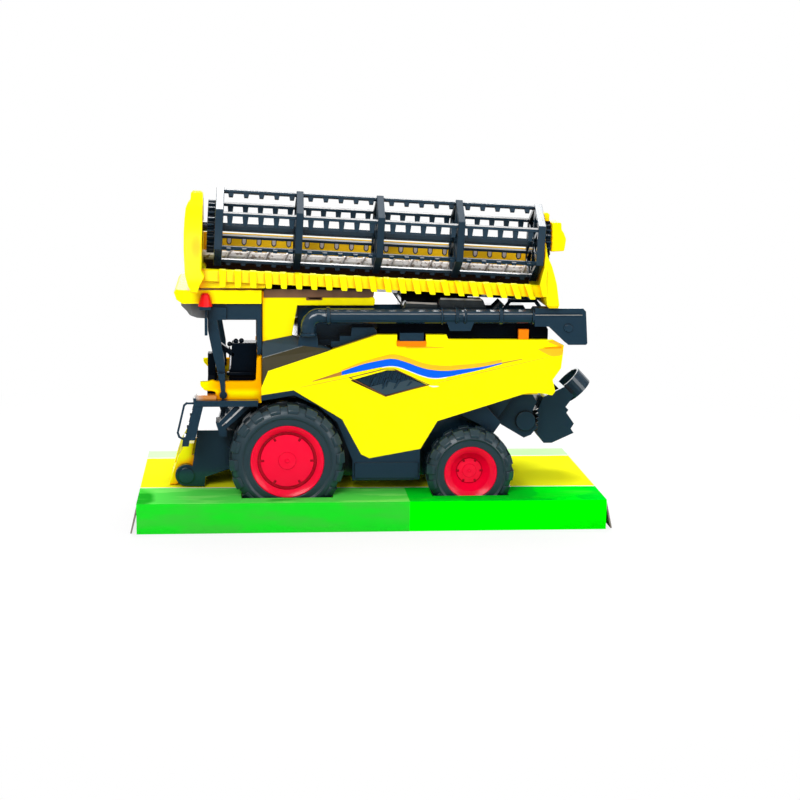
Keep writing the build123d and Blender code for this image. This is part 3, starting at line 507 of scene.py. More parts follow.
# An orange patch of light coming through the left plate near its front edge is painted into its colour.
flat = plate_yellow.add("ShaderNodeMapping", sockets={0: plate_yellow.place(), "Scale": (2.0, 0.4, 1.0)})
away = plate_yellow.add("ShaderNodeVectorMath", {"operation": "DISTANCE"},
                        {0: flat, 1: (-0.201, -0.019, 0.161)}, out=1)
painted_glow = plate_yellow.ease(0.013 - away, 0.0, 0.012) * 0.6
plate_yellow.set(Base_Color=plate_yellow.mix(painted_glow, plate_yellow.colour_now(), (1.0, 0.38, 0.0)))
shape = bmesh.new()
stack(shape, ((136.1, -103.6, -99.7, -56.4, 4.0), (140.0, -105.2, -98.6, -57.4, 7.5),
              (145.0, -106.6, -95.9, -56.0, 8.6), (148.0, -107.0, -97.6, -54.8, 9.0),
              (159.5, -107.6, -97.4, -50.6, 9.4), (168.3, -107.6, -97.2, -47.0, 4.0),
              (176.0, -107.2, -97.0, -43.4, -6.0), (182.2, -106.6, -96.9, -39.6, -13.0),
              (184.6, -105.6, -96.8, -37.6, -16.6), (186.4, -104.0, -96.8, -36.0, -20.0),
              (190.2, -103.7, -96.9, -33.4, -23.6), (191.4, -102.6, -97.9, -32.0, -25.0)))
block(shape, 137.0, 143.0, -99.0, -61.6, -43.6, -42.4)
plate = piece_from(shape, "end_plate_left", plate_yellow, "machine_on_tray", 50.0)
rounded(plate, 0.9, 50.0)
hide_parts("header_end_left")
shape = bmesh.new()
stack(shape, ((127.2, 100.4, 106.0, -55.6, 4.0), (129.2, 99.0, 106.2, -57.2, 5.0),
              (141.0, 97.8, 104.9, -54.4, 8.0), (146.0, 97.8, 103.7, -53.0, 9.0),
              (151.0, 97.9, 102.4, -51.2, 9.3), (156.5, 98.6, 100.2, -48.6, 7.0),
              (168.0, 98.6, 99.4, -42.0, 2.0), (176.6, 98.6, 99.4, -35.0, -22.0)))
stack(shape, ((134.0, 96.4, 99.4, -56.4, -53.6), (141.0, 94.8, 98.6, -56.0, -53.5),
              (146.0, 96.2, 98.8, -55.0, -53.4), (150.0, 97.4, 98.8, -54.2, -53.3)))
prism(shape, [(98.8, 175.6), (102.3, 175.9), (102.5, 179.8), (101.0, 180.7), (98.8, 180.2)],
      -38.0, -30.0, "Y")
plate = piece_from(shape, "end_plate_right", plate_yellow, "machine_on_tray", 50.0)
rounded(plate, 0.5, 50.0)
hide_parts("header_end_right")
shape = bmesh.new()
prism(shape, [(102.9, 158.4), (111.0, 158.8), (112.0, 165.7), (110.5, 169.3), (109.2, 171.0), (108.9, 175.2),
              (103.4, 175.2)], -42.0, -22.0, "Y")
prism(shape, [(99.0, 162.0), (103.4, 162.0), (103.4, 169.0), (99.0, 169.0)], -36.0, -26.0, "Y")
gearbox = rounded(piece_from(shape, "gearbox_shell", yellow, "machine_on_tray", 40.0), 0.8)
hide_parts("header_gearbox")

HEADER_SLOPE = 0.0472


def rise(finish):
    """Height measured square to the tilted header."""
    return finish.place("Z") + finish.place("X") * HEADER_SLOPE


# The back wall is the yellow plastic painted in a shaded amber.
wall = moulded("wall_yellow_painted_shade", (1.0, 0.60, 0.01), (1.0, 0.34, 0.0), gloss=0.4, coat=0.0, mirror=0.1, reach=3.0)
# Below a height the wall is painted near black: the painted shadow of the trough.
clear = wall.ease(rise(wall), 0.1455, 0.1490)
wall.set(Base_Color=wall.mix(clear, (0.035, 0.014, 0.006), wall.colour_now()))
dress("header_back", wall, 0.2)
# The screw is painted pale as its highlight, flecked brown.
screw_painted_light = moulded("screw_painted_light", (0.80, 0.76, 0.73), (0.28, 0.20, 0.15), gloss=0.3, coat=0.2, reach=5.0)
flecks = screw_painted_light.ease(screw_painted_light.noise(420.0, 3.0), 0.56, 0.62)
tone = screw_painted_light.mix(flecks * 0.8, screw_painted_light.colour_now(), (0.14, 0.07, 0.03))
# Low down the screw is painted near black: the painted shadow of the trough.
clear = screw_painted_light.ease(rise(screw_painted_light), 0.1445, 0.1475)
screw_painted_light.set(Base_Color=screw_painted_light.mix(clear, (0.035, 0.016, 0.008), tone))
# A left-handed and a right-handed flight meet in the middle of the tube. They stand on it from
# SCREW_ROOT to SCREW_TIP, in sections of STEPS_PER_TURN.
SCREW_Y = 26.0
SCREW_Z = -20.0
TUBE_RADIUS = 3.8
SCREW_ROOT = 3.4
SCREW_TIP = 5.4
TURNS_A_SIDE = 8
STEPS_PER_TURN = 14
shape = bmesh.new()
prism(shape, round_outline(TUBE_RADIUS, 10, (SCREW_Y, SCREW_Z)), -101.0, 97.8, place=tilted)
for hand in (-1.0, 1.0):
    rings = []
    count = TURNS_A_SIDE * STEPS_PER_TURN
    for i in range(count + 1):
        angle = 2 * math.pi * i / STEPS_PER_TURN
        x = hand * (3.0 + 91.0 * i / count) - 2.0
        across = math.sin(hand * angle)
        up = math.cos(hand * angle)
        section = ((-0.7, SCREW_ROOT), (0.7, SCREW_ROOT), (0.4, SCREW_TIP), (-0.4, SCREW_TIP))
        corners = [Vector((x + dx, SCREW_Y + r * across, SCREW_Z + r * up)) for dx, r in section]
        rings.append([shape.verts.new(tilted @ (corner * mm)) for corner in corners])
    skin_over(shape, rings)
screw = piece_from(shape, "feed_screw", screw_painted_light, "machine_on_tray", 35.0)
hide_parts("header_screw")

# ------------------------------------------------------------------ reel
# Five hexagonal spiders carry six swinging combs: slim bars with a painted pale highlight on the upper
# ridge and tapered teeth. A toothed wheel sits at each end of the eight sided shaft.
def paint_ridge_highlight(finish, low, pale):
    """Paints a pale highlight into a finish's colour where a face looks up and to the left, where light would
    catch a polished ridge.
    """
    normal = finish.add("ShaderNodeNewGeometry", out="Normal")
    slope = finish.add("ShaderNodeVectorMath", {"operation": "DOT_PRODUCT"},
                       {0: normal, 1: (0.0, -0.60, 0.80)}, out=1)
    finish.set(Base_Color=finish.mix(finish.ease(slope, low, 0.985), finish.colour_now(), pale))


comb_black = moulded("reel_black", BLUE_BLACK, BLACK_PAINTED_SHADE, gloss=0.2, coat=0.15)
paint_ridge_highlight(comb_black, 0.94, (0.42, 0.42, 0.42))
flat_black = moulded("spider_black", (0.011, 0.030, 0.050), BLACK_PAINTED_SHADE, gloss=0.5, coat=0.0, mirror=0.15)
tooth_painted_reflection = moulded("tooth_painted_reflection", (0.72, 0.62, 0.62), (0.35, 0.22, 0.16), gloss=0.3, coat=0.2, reach=3.0)
RING_OUTER = 22.68
RING_INNER = 19.4
HUB_RADIUS = 5.6


def spider(shape, x, half):
    """A flat hexagonal ring with a hub and six spokes, about the reel's axis."""
    rings = [[shape.verts.new(tilted @ (Vector((a, y, z)) * mm)) for y, z in round_outline(r, 6)]
             for a, r in ((x - half, RING_OUTER), (x + half, RING_OUTER),
                          (x + half, RING_INNER), (x - half, RING_INNER))]
    for near, far in zip(rings, rings[1:] + rings[:1]):
        for k in range(6):
            j = (k + 1) % 6
            shape.faces.new((near[k], near[j], far[j], far[k]))
    prism(shape, round_outline(HUB_RADIUS, 12), x - half, x + half, place=tilted)
    for k in range(6):
        turn = tilted @ Matrix.Rotation(math.radians(60 * k), 4, "X")
        prism(shape, [(-1.4, 5.0), (1.4, 5.0), (1.4, 20.5), (-1.4, 20.5)],
              x - half * 0.8, x + half * 0.8, place=turn)


shape = bmesh.new()
for x in (-92.0, 92.0):
    spider(shape, x, 2.2)
ends = rounded(piece_from(shape, "reel_ends", black, "reel", 0), 0.25, 40.0, 2)
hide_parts("reel")
shape = bmesh.new()
for x in (-46.6, -0.4, 45.6):
    spider(shape, x, 2.0)
rounded(piece_from(shape, "reel_spiders", flat_black, "reel", 0), 0.25, 40.0, 2)
COMB_RADIUS = 20.6
TOOTH_PITCH = 8.72
comb_table = (
    # place round the reel, lift, swing in degrees, tooth length
    (0, 0.0, 30.0, 2.6),
    (1, -1.4, 0.0, 5.4),
    (2, 0.2, 75.0, 2.2),
    (3, 1.4, 10.0, 1.6),
    (4, 3.4, 0.0, 3.4),
    (5, 1.5, 0.0, 5.6),
)
# Each bay between two spiders holds five teeth, with its middle tooth a little off centre.
bays = ((-92.0, -46.6, 0.8), (-46.6, -0.4, 0.6), (-0.4, 45.6, 1.2), (45.6, 92.0, -0.6))
combs = bmesh.new()
painted_reflection_teeth = bmesh.new()
for sixth, lift, swing, tooth in comb_table:
    arm = math.radians(60 * sixth)
    spot = Vector((0.0, -COMB_RADIUS * math.sin(arm), COMB_RADIUS * math.cos(arm) + lift))
    hang = tilted @ Matrix.Translation(spot * mm) @ Matrix.Rotation(math.radians(-swing), 4, "X")
    prism(combs, [(-1.1, -1.2), (-1.1, 0.3), (0.0, 1.3), (1.1, 1.1), (1.1, -1.2)], -93.0, 93.0, place=hang)
    for start, end, shift in bays:
        for j in range(-2, 3):
            x = (start + end) / 2 + shift + TOOTH_PITCH * j
            outline = [(x - 1.7, -1.0), (x - 1.15, -1.2 - tooth), (x + 1.15, -1.2 - tooth), (x + 1.7, -1.0)]
            if sixth == 4:
                # The lower comb on the far side shows round teeth, their faces painted pale as a reflection.
                tip = [math.pi * k / 8 for k in range(9)]
                outline = [(x - 1.5, -1.0)]
                outline += [(x - 1.5 * math.cos(a), -2.9 - 1.9 * math.sin(a)) for a in tip]
                outline += [(x + 1.5, -1.0)]
                inset = [(x + (u - x) * 0.66, -1.2 + (v + 1.2) * 0.8) for u, v in outline]
                prism(painted_reflection_teeth, inset, -1.05, -0.2, "Y", hang)
            prism(combs, outline, -0.8, 0.8, "Y", hang)
rounded(piece_from(combs, "reel_combs", comb_black, "reel", 0), 0.15, 40.0, 1)
piece_from(painted_reflection_teeth, "reel_comb_painted_reflection", tooth_painted_reflection, "reel", 0)

shape = bmesh.new()
prism(shape, round_outline(2.7, 8, turn=22.5), -94.0, 94.0, place=tilted)
WHEEL_TEETH = 26
TOOTH_TIP = 15.2
TOOTH_ROOT = 13.2
wheel = []
for k in range(4 * WHEEL_TEETH):
    r = TOOTH_TIP if k % 4 < 2 else TOOTH_ROOT
    angle = math.pi * k / (2 * WHEEL_TEETH)
    wheel.append((r * math.sin(angle), r * math.cos(angle)))
for x0, x1 in ((-98.6, -94.4), (95.2, 98.6)):
    prism(shape, wheel, x0, x1, place=tilted)
for x0, x1 in ((-103.6, -94.0), (94.0, 100.4)):
    prism(shape, round_outline(3.0, 18), x0, x1, place=tilted)
shaft = rounded(piece_from(shape, "reel_axle", black, "reel", 0), 0.2, 40.0, 1)
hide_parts("reel_shaft")

# ------------------------------------------------------------------ tank lid, shoulders and cab fittings
# The lid's brown skirt laps over the tank; black shoulders slope from the tank to the panels; the
# cab holds a broad seat box, a front console with a raked wheel, and levers beside the seat.
def both_sides(shape, outline, inner, outer):
    """Adds a solid of a side outline on the left and one on the right, by distance from the middle."""
    for side in (-1.0, 1.0):
        low, high = sorted((side * inner, side * outer))
        prism(shape, outline, low, high, "Y")


shape = bmesh.new()
skirt = [(-62.6, 131.4), (-2.0, 131.4), (0.6, 132.2), (1.0, 134.9), (0.2, 136.3), (-62.6, 136.3)]
clip = [(-38.2, 129.9), (-29.0, 129.9), (-29.0, 131.8), (-38.2, 131.8)]
both_sides(shape, skirt, 38.5, 40.55)
both_sides(shape, clip, 39.0, 40.5)
rounded(piece_from(shape, "lid_skirt", brown, "machine_on_tray", 40.0), 0.3)

shoulder_black = moulded("shoulder_black", (0.012, 0.036, 0.052), (0.03, 0.020, 0.012), gloss=0.24, coat=0.2)
# Faces that do not look up are painted a warm brown instead of the blue black: light painted by which way a
# face looks.
flank = shoulder_black.ease(shoulder_black.upward(), 0.28, 0.5)
shoulder_black.set(Base_Color=shoulder_black.mix(flank, (0.050, 0.042, 0.018), shoulder_black.colour_now()))
for side, name in ((-1.0, "left"), (1.0, "right")):
    shape = bmesh.new()
    spots = ((-63.6, 40.2, 106.0), (-45.9, 40.2, 109.6), (-24.2, 46.0, 102.4), (-39.9, 46.2, 104.2),
             (-63.6, 46.2, 97.2), (-63.6, 47.2, 79.0), (-60.4, 47.7, 89.0), (-24.2, 47.6, 101.6))
    front = [shape.verts.new(Vector((x, side * y, z)) * mm) for x, y, z in spots]
    back = [shape.verts.new(Vector((x, side * 38.2, z)) * mm) for x, y, z in spots]
    for loop in ((0, 1, 3, 4), (1, 2, 3), (4, 3, 2, 7, 6, 5)):
        shape.faces.new([front[k] for k in loop])
    border = (0, 1, 2, 7, 6, 5, 4)
    for a, b in zip(border, border[1:] + border[:1]):
        shape.faces.new((front[a], front[b], back[b], back[a]))
    shape.faces.new([back[k] for k in border])
    shoulder = piece_from(shape, f"shoulder_slope_{name}", shoulder_black, "machine_on_tray",
                          0)
    rounded(shoulder, 0.3, 12.0, 2)
    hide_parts(f"shoulder_{name}")
shape = bmesh.new()
stack(shape, ((100.0, -44.0, -31.0, -46.0, -33.0), (110.0, -42.4, -32.0, -46.0, -33.0),
              (110.4, -41.8, -32.6, -45.4, -33.0)))
block(shape, 110.0, 110.5, -40.6, -33.8, -50.4, -44.0)
pedestal = rounded(piece_from(shape, "auger_seat", black, "machine_on_tray", 0), 0.3)
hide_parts("auger_pedestal")

cabin_black = moulded("cabin_black", (0.002, 0.005, 0.010), (0.001, 0.002, 0.004), gloss=0.2, coat=0.1,
                      mirror=0.06)
shape = bmesh.new()
stack(shape, ((74.0, -82.6, -66.6, -36.0, -24.0), (88.6, -82.6, -66.6, -36.0, -24.0),
              (89.4, -81.6, -66.6, -36.0, -24.0), (103.6, -81.0, -66.6, -36.0, -24.0),
              (104.4, -80.4, -66.6, -36.0, -24.0)))
block(shape, 74.0, 88.0, -82.6, -66.6, -24.0, 36.0)
stack(shape, ((71.8, -95.0, -64.2, -40.5, 40.5), (74.2, -94.6, -64.2, -40.5, 40.5)))
block(shape, 85.6, 87.6, -84.0, -68.0, -38.0, -35.0)
LEVER_Y = -34.6
KNOB_RADIUS = 1.5
for x, z in ((-82.2, 103.6), (-78.6, 105.4), (-75.4, 105.6)):
    block(shape, z - 8.0, z - 1.6, x - 0.4, x + 0.4, LEVER_Y - 0.4, LEVER_Y + 0.4)
    knob = Matrix.Translation(Vector((x, LEVER_Y, z)) * mm)
    bmesh.ops.create_icosphere(shape, subdivisions=2, radius=KNOB_RADIUS * mm, matrix=knob)
seat = rounded(piece_from(shape, "seat_box", cabin_black, "machine_on_tray", 35.0), 0.4)
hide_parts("seat")
shape = bmesh.new()
stack(shape, ((71.6, -95.4, -90.2, -40.4, 40.4), (80.0, -95.0, -90.6, -40.4, 40.4),
              (86.0, -94.8, -90.6, -36.0, 36.0)))
stack(shape, ((84.0, -94.8, -90.2, -36.0, -28.0), (98.4, -94.8, -90.8, -36.0, -28.0)))
WHEEL_RAKE = 36
rake = Matrix.Rotation(math.radians(WHEEL_RAKE), 4, "Y")
rake = Matrix.Translation(Vector((-85.0, 0.0, 101.0)) * mm) @ rake
prism(shape, [(-6.8, -1.3), (6.8, -1.3), (6.8, 1.3), (-6.8, 1.3)], -36.0, -30.0, "Y", rake)
column = piece_from(shape, "front_console", cabin_black, "machine_on_tray", 35.0)
rounded(column, 0.4)
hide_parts("steering_column")

# The tub is the yellow plastic, matte, with its upper rear painted orange as the shade under the cab.
tub_yellow_painted_shade = moulded("tub_yellow_painted_shade", YELLOW, (1.0, 0.30, 0.0), gloss=0.28, coat=0.0, mirror=0.0, reach=5.0)
shade_under_cab = tub_yellow_painted_shade.ease(tub_yellow_painted_shade.place("Z"), 0.0765, 0.0800)
shade_under_cab = shade_under_cab * tub_yellow_painted_shade.ease(tub_yellow_painted_shade.place("X"), -0.099, -0.088)
tub_yellow_painted_shade.set(Base_Color=tub_yellow_painted_shade.mix(shade_under_cab, tub_yellow_painted_shade.colour_now(), (1.0, 0.44, 0.0)))
shape = bmesh.new()
tub_side = [(-90.2, 70.4), (-63.9, 70.4), (-63.9, 98.2), (-66.6, 96.8), (-67.2, 83.8), (-69.0, 83.2),
            (-90.0, 83.2), (-92.0, 84.0), (-94.6, 83.2), (-99.2, 83.0), (-98.9, 80.6), (-96.4, 77.9),
            (-92.0, 77.5), (-90.4, 77.0)]
both_sides(shape, tub_side, 40.4, 44.0)
prism(shape, [(-66.4, 70.4), (-63.9, 70.4), (-63.9, 98.2), (-66.4, 96.8)], -40.4, 40.4, "Y")
tub = rounded(piece_from(shape, "tub_shell", tub_yellow_painted_shade, "machine_on_tray", 35.0), 0.5)
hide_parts("cab_tub")
# The step cap is painted pale grey at its front end as a reflection on a glossy top, and orange further back.
step_painted_reflection = moulded("step_painted_reflection", (0.62, 0.60, 0.58), (0.25, 0.16, 0.08), gloss=0.25, coat=0.3)
toe = step_painted_reflection.ease(step_painted_reflection.place("X"), -0.104, -0.096)
step_painted_reflection.set(Base_Color=step_painted_reflection.mix(toe, (0.55, 0.54, 0.53), (0.60, 0.22, 0.03)))
shape = bmesh.new()
stack(shape, ((72.4, -103.0, -89.8, -47.4, -40.0), (74.0, -103.4, -89.8, -47.8, -40.0),
              (75.6, -101.0, -89.8, -46.8, -40.0)))
rounded(piece_from(shape, "front_step_cap", step_painted_reflection, "machine_on_tray", 0), 0.4)

# ------------------------------------------------------------------ rims
# Crimson dish rims. A sloping lip runs down to a round well, and the disc in it has six short
# notches at its edge, where the mould's ejector bars stood, and a raised hub with a pip.
crimson = moulded("red_plastic", (0.92, 0.0, 0.035), (0.32, 0.0, 0.008), gloss=0.24, coat=0.08, mirror=0.2,
                  reach=4.0)
RIM_STEPS = 96
NOTCHES = 6
rim_lines = {
    # end: the dish's line of (from the tyre's face, radius) pairs, radius and length of the notches
    "front": ([(-1.4, 21.24), (-1.15, 20.9), (-1.25, 20.4), (-3.5, 17.5), (-3.9, 17.1), (-5.6, 17.0),
               (-5.6, 15.6), (-4.45, 15.4), (-4.2, 15.1), (-4.2, 5.2), (-3.75, 4.9), (-3.7, 1.3),
               (-3.2, 0.9), (-3.05, 0.0)], 15.0, 3.4),
    "rear": ([(-1.4, 15.54), (-1.15, 15.2), (-1.3, 14.8), (-3.2, 11.7), (-3.6, 11.3), (-4.4, 11.0),
              (-7.5, 8.0), (-8.0, 7.6), (-7.6, 7.2), (-7.6, 4.1), (-7.25, 3.9), (-7.2, 1.0),
              (-6.8, 0.7), (-6.7, 0.0)], 7.0, 1.8),
}
for end, (face_line, notch_r, notch_long) in rim_lines.items():
    for side in ("left", "right"):
        node = f"{end}_rim_{side}"
        tyre_centre, out, _, half = axle_place(f"{end}_tyre_{side}")
        back = [(-half + 1.4, 0.0), (-half + 1.4, 4.0), (-half + 1.4, face_line[0][1])]
        line = back + [(half + a, r) for a, r in face_line]
        shape = bmesh.new()
        spin(shape, line, RIM_STEPS, tyre_centre, out, closed=False)
        rim = piece_from(shape, f"{end}_rim_{side}_dish", crimson, f"{end}_wheels", 30.0)
        cutter_shape = bmesh.new()
        depth_at = half + face_line[8][0]
        disc = Matrix.Translation(tyre_centre + Vector((0.0, out * depth_at * mm, 0.0)))
        size = Matrix.Diagonal((1.3 * mm, 2.0 * mm, notch_long * mm, 1.0))
        outward = Matrix.Translation((0.0, 0.0, notch_r * mm))
        for i in range(NOTCHES):
            turn = Matrix.Rotation(math.radians(360 / NOTCHES * i + 90), 4, "Y")
            bmesh.ops.create_cube(cutter_shape, size=1.0, matrix=disc @ turn @ outward @ size)
        tool = bpy.data.objects.new("notch_tool", bpy.data.meshes.new("notch_tool"))
        cutter_shape.to_mesh(tool.data)
        cutter_shape.free()
        scene.collection.objects.link(tool)
        cut = rim.modifiers.new("notches", "BOOLEAN")
        cut.object = tool
        cut.solver = "EXACT"
        bpy.context.view_layer.objects.active = rim
        with bpy.context.temp_override(object=rim, active_object=rim):
            bpy.ops.object.modifier_apply(modifier="notches")
        bpy.data.objects.remove(tool)
        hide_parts(node)

# ------------------------------------------------------------------ side stripe
# A foil sticker on each side panel: a blue wave that tapers at both ends and a soft orange shadow
# above it, with a painted white highlight line below. The plate that carried lettering is left bare.
def ink(name, cloud, under, over, **sockets):
    """Printed foil: one ink, clouded a little towards another."""
    film = Finish(name, IOR=1.45, **sockets)
    film.set(Base_Color=film.mix(film.noise(cloud), under, over))
    return film


blue_foil = ink("stripe_blue", 40.0, (0.0, 0.13, 0.80), (0.0, 0.10, 0.86),
                Roughness=0.35, Coat_Weight=0.02, Specular_IOR_Level=0.1)
amber_foil = ink("stripe_amber", 40.0, (1.0, 0.50, 0.0), (1.0, 0.58, 0.0), Roughness=0.3, Coat_Weight=0.4)
highlight_foil = ink("stripe_painted_highlight", 60.0, (0.85, 0.85, 0.82), (0.95, 0.95, 0.92), Roughness=0.3, Coat_Weight=0.4)
rust_foil = ink("stripe_rust", 60.0, (0.42, 0.17, 0.02), (0.52, 0.22, 0.03), Roughness=0.35, Coat_Weight=0.3)


def flowing(points, per_span=8):
    """A smooth line through rows of numbers (a Catmull-Rom spline)."""
    rows = [points[0], *points, points[-1]]
    line = []
    for before, start, end, after in zip(rows, rows[1:], rows[2:], rows[3:]):
        for k in range(per_span):
            t = k / per_span
            line.append([0.5 * (2 * q + (r - p) * t + (2 * p - 5 * q + 4 * r - s) * t * t
                                + (3 * q - p - 3 * r + s) * t ** 3)
                         for p, q, r, s in zip(before, start, end, after)])
    return line + [list(points[-1])]


def foil(name, finish, table, proud):
    """A thin film on both side panels between two flowing edges, rows of (x, lower z, upper z)."""
    low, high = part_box("side_panel_left")
    for side, face in (("left", low[1]), ("right", -low[1])):
        skin = face + math.copysign(proud, face) * mm
        shape = bmesh.new()
        rows = [(shape.verts.new((x * mm, skin, z0 * mm)), shape.verts.new((x * mm, skin, z1 * mm)))
                for x, z0, z1 in flowing(table)]
        for (a, b), (c, d) in zip(rows, rows[1:]):
            shape.faces.new((a, c, d, b))
        sheet = bmesh.ops.extrude_face_region(shape, geom=shape.faces[:])
        for corner in sheet["geom"]:
            if isinstance(corner, bmesh.types.BMVert):
                corner.co.y -= math.copysign(proud + 0.05, face) * mm
        piece_from(shape, f"{name}_{side}", finish, "machine_on_tray")


wave = (
    # x, lower z, upper z
    (-34.7, 83.7, 84.0),
    (-18.0, 87.4, 89.6),
    (-6.4, 89.8, 93.6),
    (5.2, 92.1, 96.2),
    (11.0, 92.7, 96.9),
    (17.0, 91.5, 95.7),
    (28.4, 87.1, 91.6),
    (35.5, 85.6, 90.2),
    (43.0, 86.2, 89.8),
    (52.0, 88.0, 90.7),
    (63.5, 90.6, 92.1),
    (75.0, 93.8, 94.5),
    (87.0, 96.4, 96.7),
)
foil("stripe_blue", blue_foil, wave[1:-1], 0.10)
foil("stripe_tips", rust_foil, wave, 0.06)
SHADOW_RISE = 2.9
shadow = [(x, high_z, high_z + SHADOW_RISE * math.sin(math.pi * (i + 1) / (len(wave) + 1)))
          for i, (x, low_z, high_z) in enumerate(wave[1:-1])]
foil("stripe_shadow", amber_foil, shadow, 0.08)
# A thin white film under the wave is a painted highlight.
HIGHLIGHT_WIDTH = 0.5
highlight_line = [(x, low_z - HIGHLIGHT_WIDTH, low_z) for x, low_z, high_z in wave[3:9]]
foil("stripe_highlight_line", highlight_foil, highlight_line, 0.08)

# Painted shade on the panel's moulded creases, groove and hollows, as thin films of its warmer tone, and a
# painted white highlight below the rear crease.
crease_table = (
    ("panel_crease_rear", amber_foil, ((34.3, 81.9, 82.1), (60.0, 87.8, 88.25), (102.7, 97.7, 97.9))),
    ("panel_crease_front", amber_foil, ((-41.7, 80.3, 80.5), (-28.0, 83.0, 83.4), (-13.1, 86.1, 86.3))),
    ("panel_groove", amber_foil, ((19.1, 103.2, 103.4), (30.0, 103.2, 103.7), (41.3, 103.3, 103.4))),
    ("panel_recess", amber_foil,
     ((96.3, 102.3, 102.5), (101.0, 99.7, 102.7), (105.0, 98.2, 102.8), (110.4, 98.9, 102.9))),
    ("panel_corner", amber_foil, ((102.0, 106.7, 107.0), (106.6, 104.9, 106.9), (110.0, 103.6, 104.9))),
    ("panel_glint", highlight_foil, ((32.6, 81.0, 81.1), (35.4, 80.2, 81.0), (38.6, 80.6, 80.8))),
)
for name, finish, rows in crease_table:
    foil(name, finish, rows, 0.05)

# ------------------------------------------------------------------ side vents
# A black louvred insert in a lens-shaped opening: fine slats above, a plain sloping facet below,
# and a brown gasket line round the edge.
gasket = moulded("vent_gasket", (0.20, 0.07, 0.01), (0.05, 0.015, 0.0), gloss=0.4)
facet_grey = moulded("vent_facet", (0.030, 0.060, 0.080), (0.006, 0.012, 0.018), gloss=0.25)
VENT_X = 9.0
VENT_Z = 83.4
SLATS = 13
SLAT_PITCH = 2.5
SLAT_TURN = 0.32
vent_outline = ((-13.0, 85.9), (6.6, 90.8), (12.2, 90.8), (32.2, 81.7), (7.6, 75.0))
for side in ("left", "right"):
    dress(f"vent_{side}", black, 0.1)
    low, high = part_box(f"side_panel_{side}")
    face = low[1] if side == "left" else high[1]
    inward = -math.copysign(1.0, face)
    shape = bmesh.new()
    rims = []
    for grow, sink in ((1.045, -0.06), (1.0, -0.1), (0.965, 0.3)):
        skin = face + inward * sink * mm
        spots = [(VENT_X + (x - VENT_X) * grow, VENT_Z + (z - VENT_Z) * grow) for x, z in vent_outline]
        rims.append([shape.verts.new((x * mm, skin, z * mm)) for x, z in spots])
    for outer, inner in zip(rims, rims[1:]):
        for k in range(len(vent_outline)):
            j = (k + 1) % len(vent_outline)
            shape.faces.new((outer[k], outer[j], inner[j], inner[k]))
    piece_from(shape, f"vent_gasket_{side}", gasket, "machine_on_tray", 0)
    shape = bmesh.new()
    lower = [(-4.6, 79.6, 0.35), (7.7, 75.6, 0.2), (31.0, 81.6, 0.2), (22.6, 84.4, 0.9), (16.0, 84.9, 1.3)]
    corners = [shape.verts.new((x * mm, face + inward * sink * mm, z * mm)) for x, z, sink in lower]
    base = [shape.verts.new((x * mm, face + inward * 1.5 * mm, z * mm)) for x, z, sink in lower]
    skin_over(shape, (corners, base))
    piece_from(shape, f"vent_facet_{side}", facet_grey, "machine_on_tray", 0)
    shape = bmesh.new()
    for i in range(SLATS):
        x = -8.0 + SLAT_PITCH * i
        top = 87.0 + 3.2 * math.exp(-((x - VENT_X) / 12.0) ** 2) - 0.10 * max(0.0, x - 12.0)
        foot = max(84.6 - 0.30 * (x + 6.0), 79.8) if x < 12 else 84.2
        spot = Matrix.Translation((x * mm, face + inward * 0.9 * mm, (top + foot) / 2 * mm))
        size = Matrix.Diagonal((0.5 * mm, 0.7 * mm, max(top - foot, 0.5) * mm, 1.0))
        bmesh.ops.create_cube(shape, size=1.0, matrix=spot @ Matrix.Rotation(SLAT_TURN, 4, "Y") @ size)
    piece_from(shape, f"vent_slats_{side}", black, "machine_on_tray", 0)

# ------------------------------------------------------------------ engine deck and auger trim
# Two glossy hoods with painted pale highlights on their upper edges stand behind the auger, a dark
# sill closes the deck below it, and the auger itself has raised bands, a painted pale highlight along
# its seam and a round boss on its spout.
hood_black = moulded("hood_black", (0.040, 0.050, 0.052), (0.006, 0.010, 0.014), gloss=0.14, coat=0.3)
paint_ridge_highlight(hood_black, 0.93, (0.38, 0.36, 0.34))
shape = bmesh.new()
both_sides(shape, [(16.0, 122.0), (38.0, 122.0), (38.0, 128.6), (18.6, 129.4)], 34.0, 43.0)
both_sides(shape, [(38.2, 122.0), (67.6, 122.0), (63.8, 131.0), (38.2, 131.6)], 34.0, 43.0)
rounded(piece_from(shape, "deck_hoods", hood_black, "machine_on_tray", 0), 0.9, 40.0, 1)
shape = bmesh.new()
both_sides(shape, [(4.0, 103.0), (103.0, 103.0), (103.0, 113.0), (100.0, 118.0), (4.0, 118.0)], 30.0, 41.0)
rounded(piece_from(shape, "deck_sill", cabin_black, "machine_on_tray", 0), 0.4, 40.0, 2)
seam_painted_highlight = moulded("seam_painted_highlight", (0.30, 0.32, 0.33), (0.08, 0.09, 0.10), gloss=0.2, coat=0.3)
shape = bmesh.new()
block(shape, 123.2, 123.55, -33.0, 93.0, -51.2, -50.2)
block(shape, 122.8, 123.2, 93.0, 120.6, -52.9, -52.0)
piece_from(shape, "auger_seam", seam_painted_highlight, "unloading_auger", 0)
shape = bmesh.new()
TUBE_AXIS = (-47.0, 121.6)
BAND_RADIUS = 5.25
for x, half in ((-26.0, 0.9), (39.4, 0.5), (47.8, 0.5), (52.7, 0.5), (73.6, 0.9), (92.6, 0.7)):
    prism(shape, round_outline(BAND_RADIUS, 18, TUBE_AXIS), x - half, x + half)
prism(shape, round_outline(2.3, 16, (113.0, 115.2)), -53.0, -52.4, "Y")
rounded(piece_from(shape, "auger_bands", black, "unloading_auger", 35.0), 0.2, 40.0, 2)

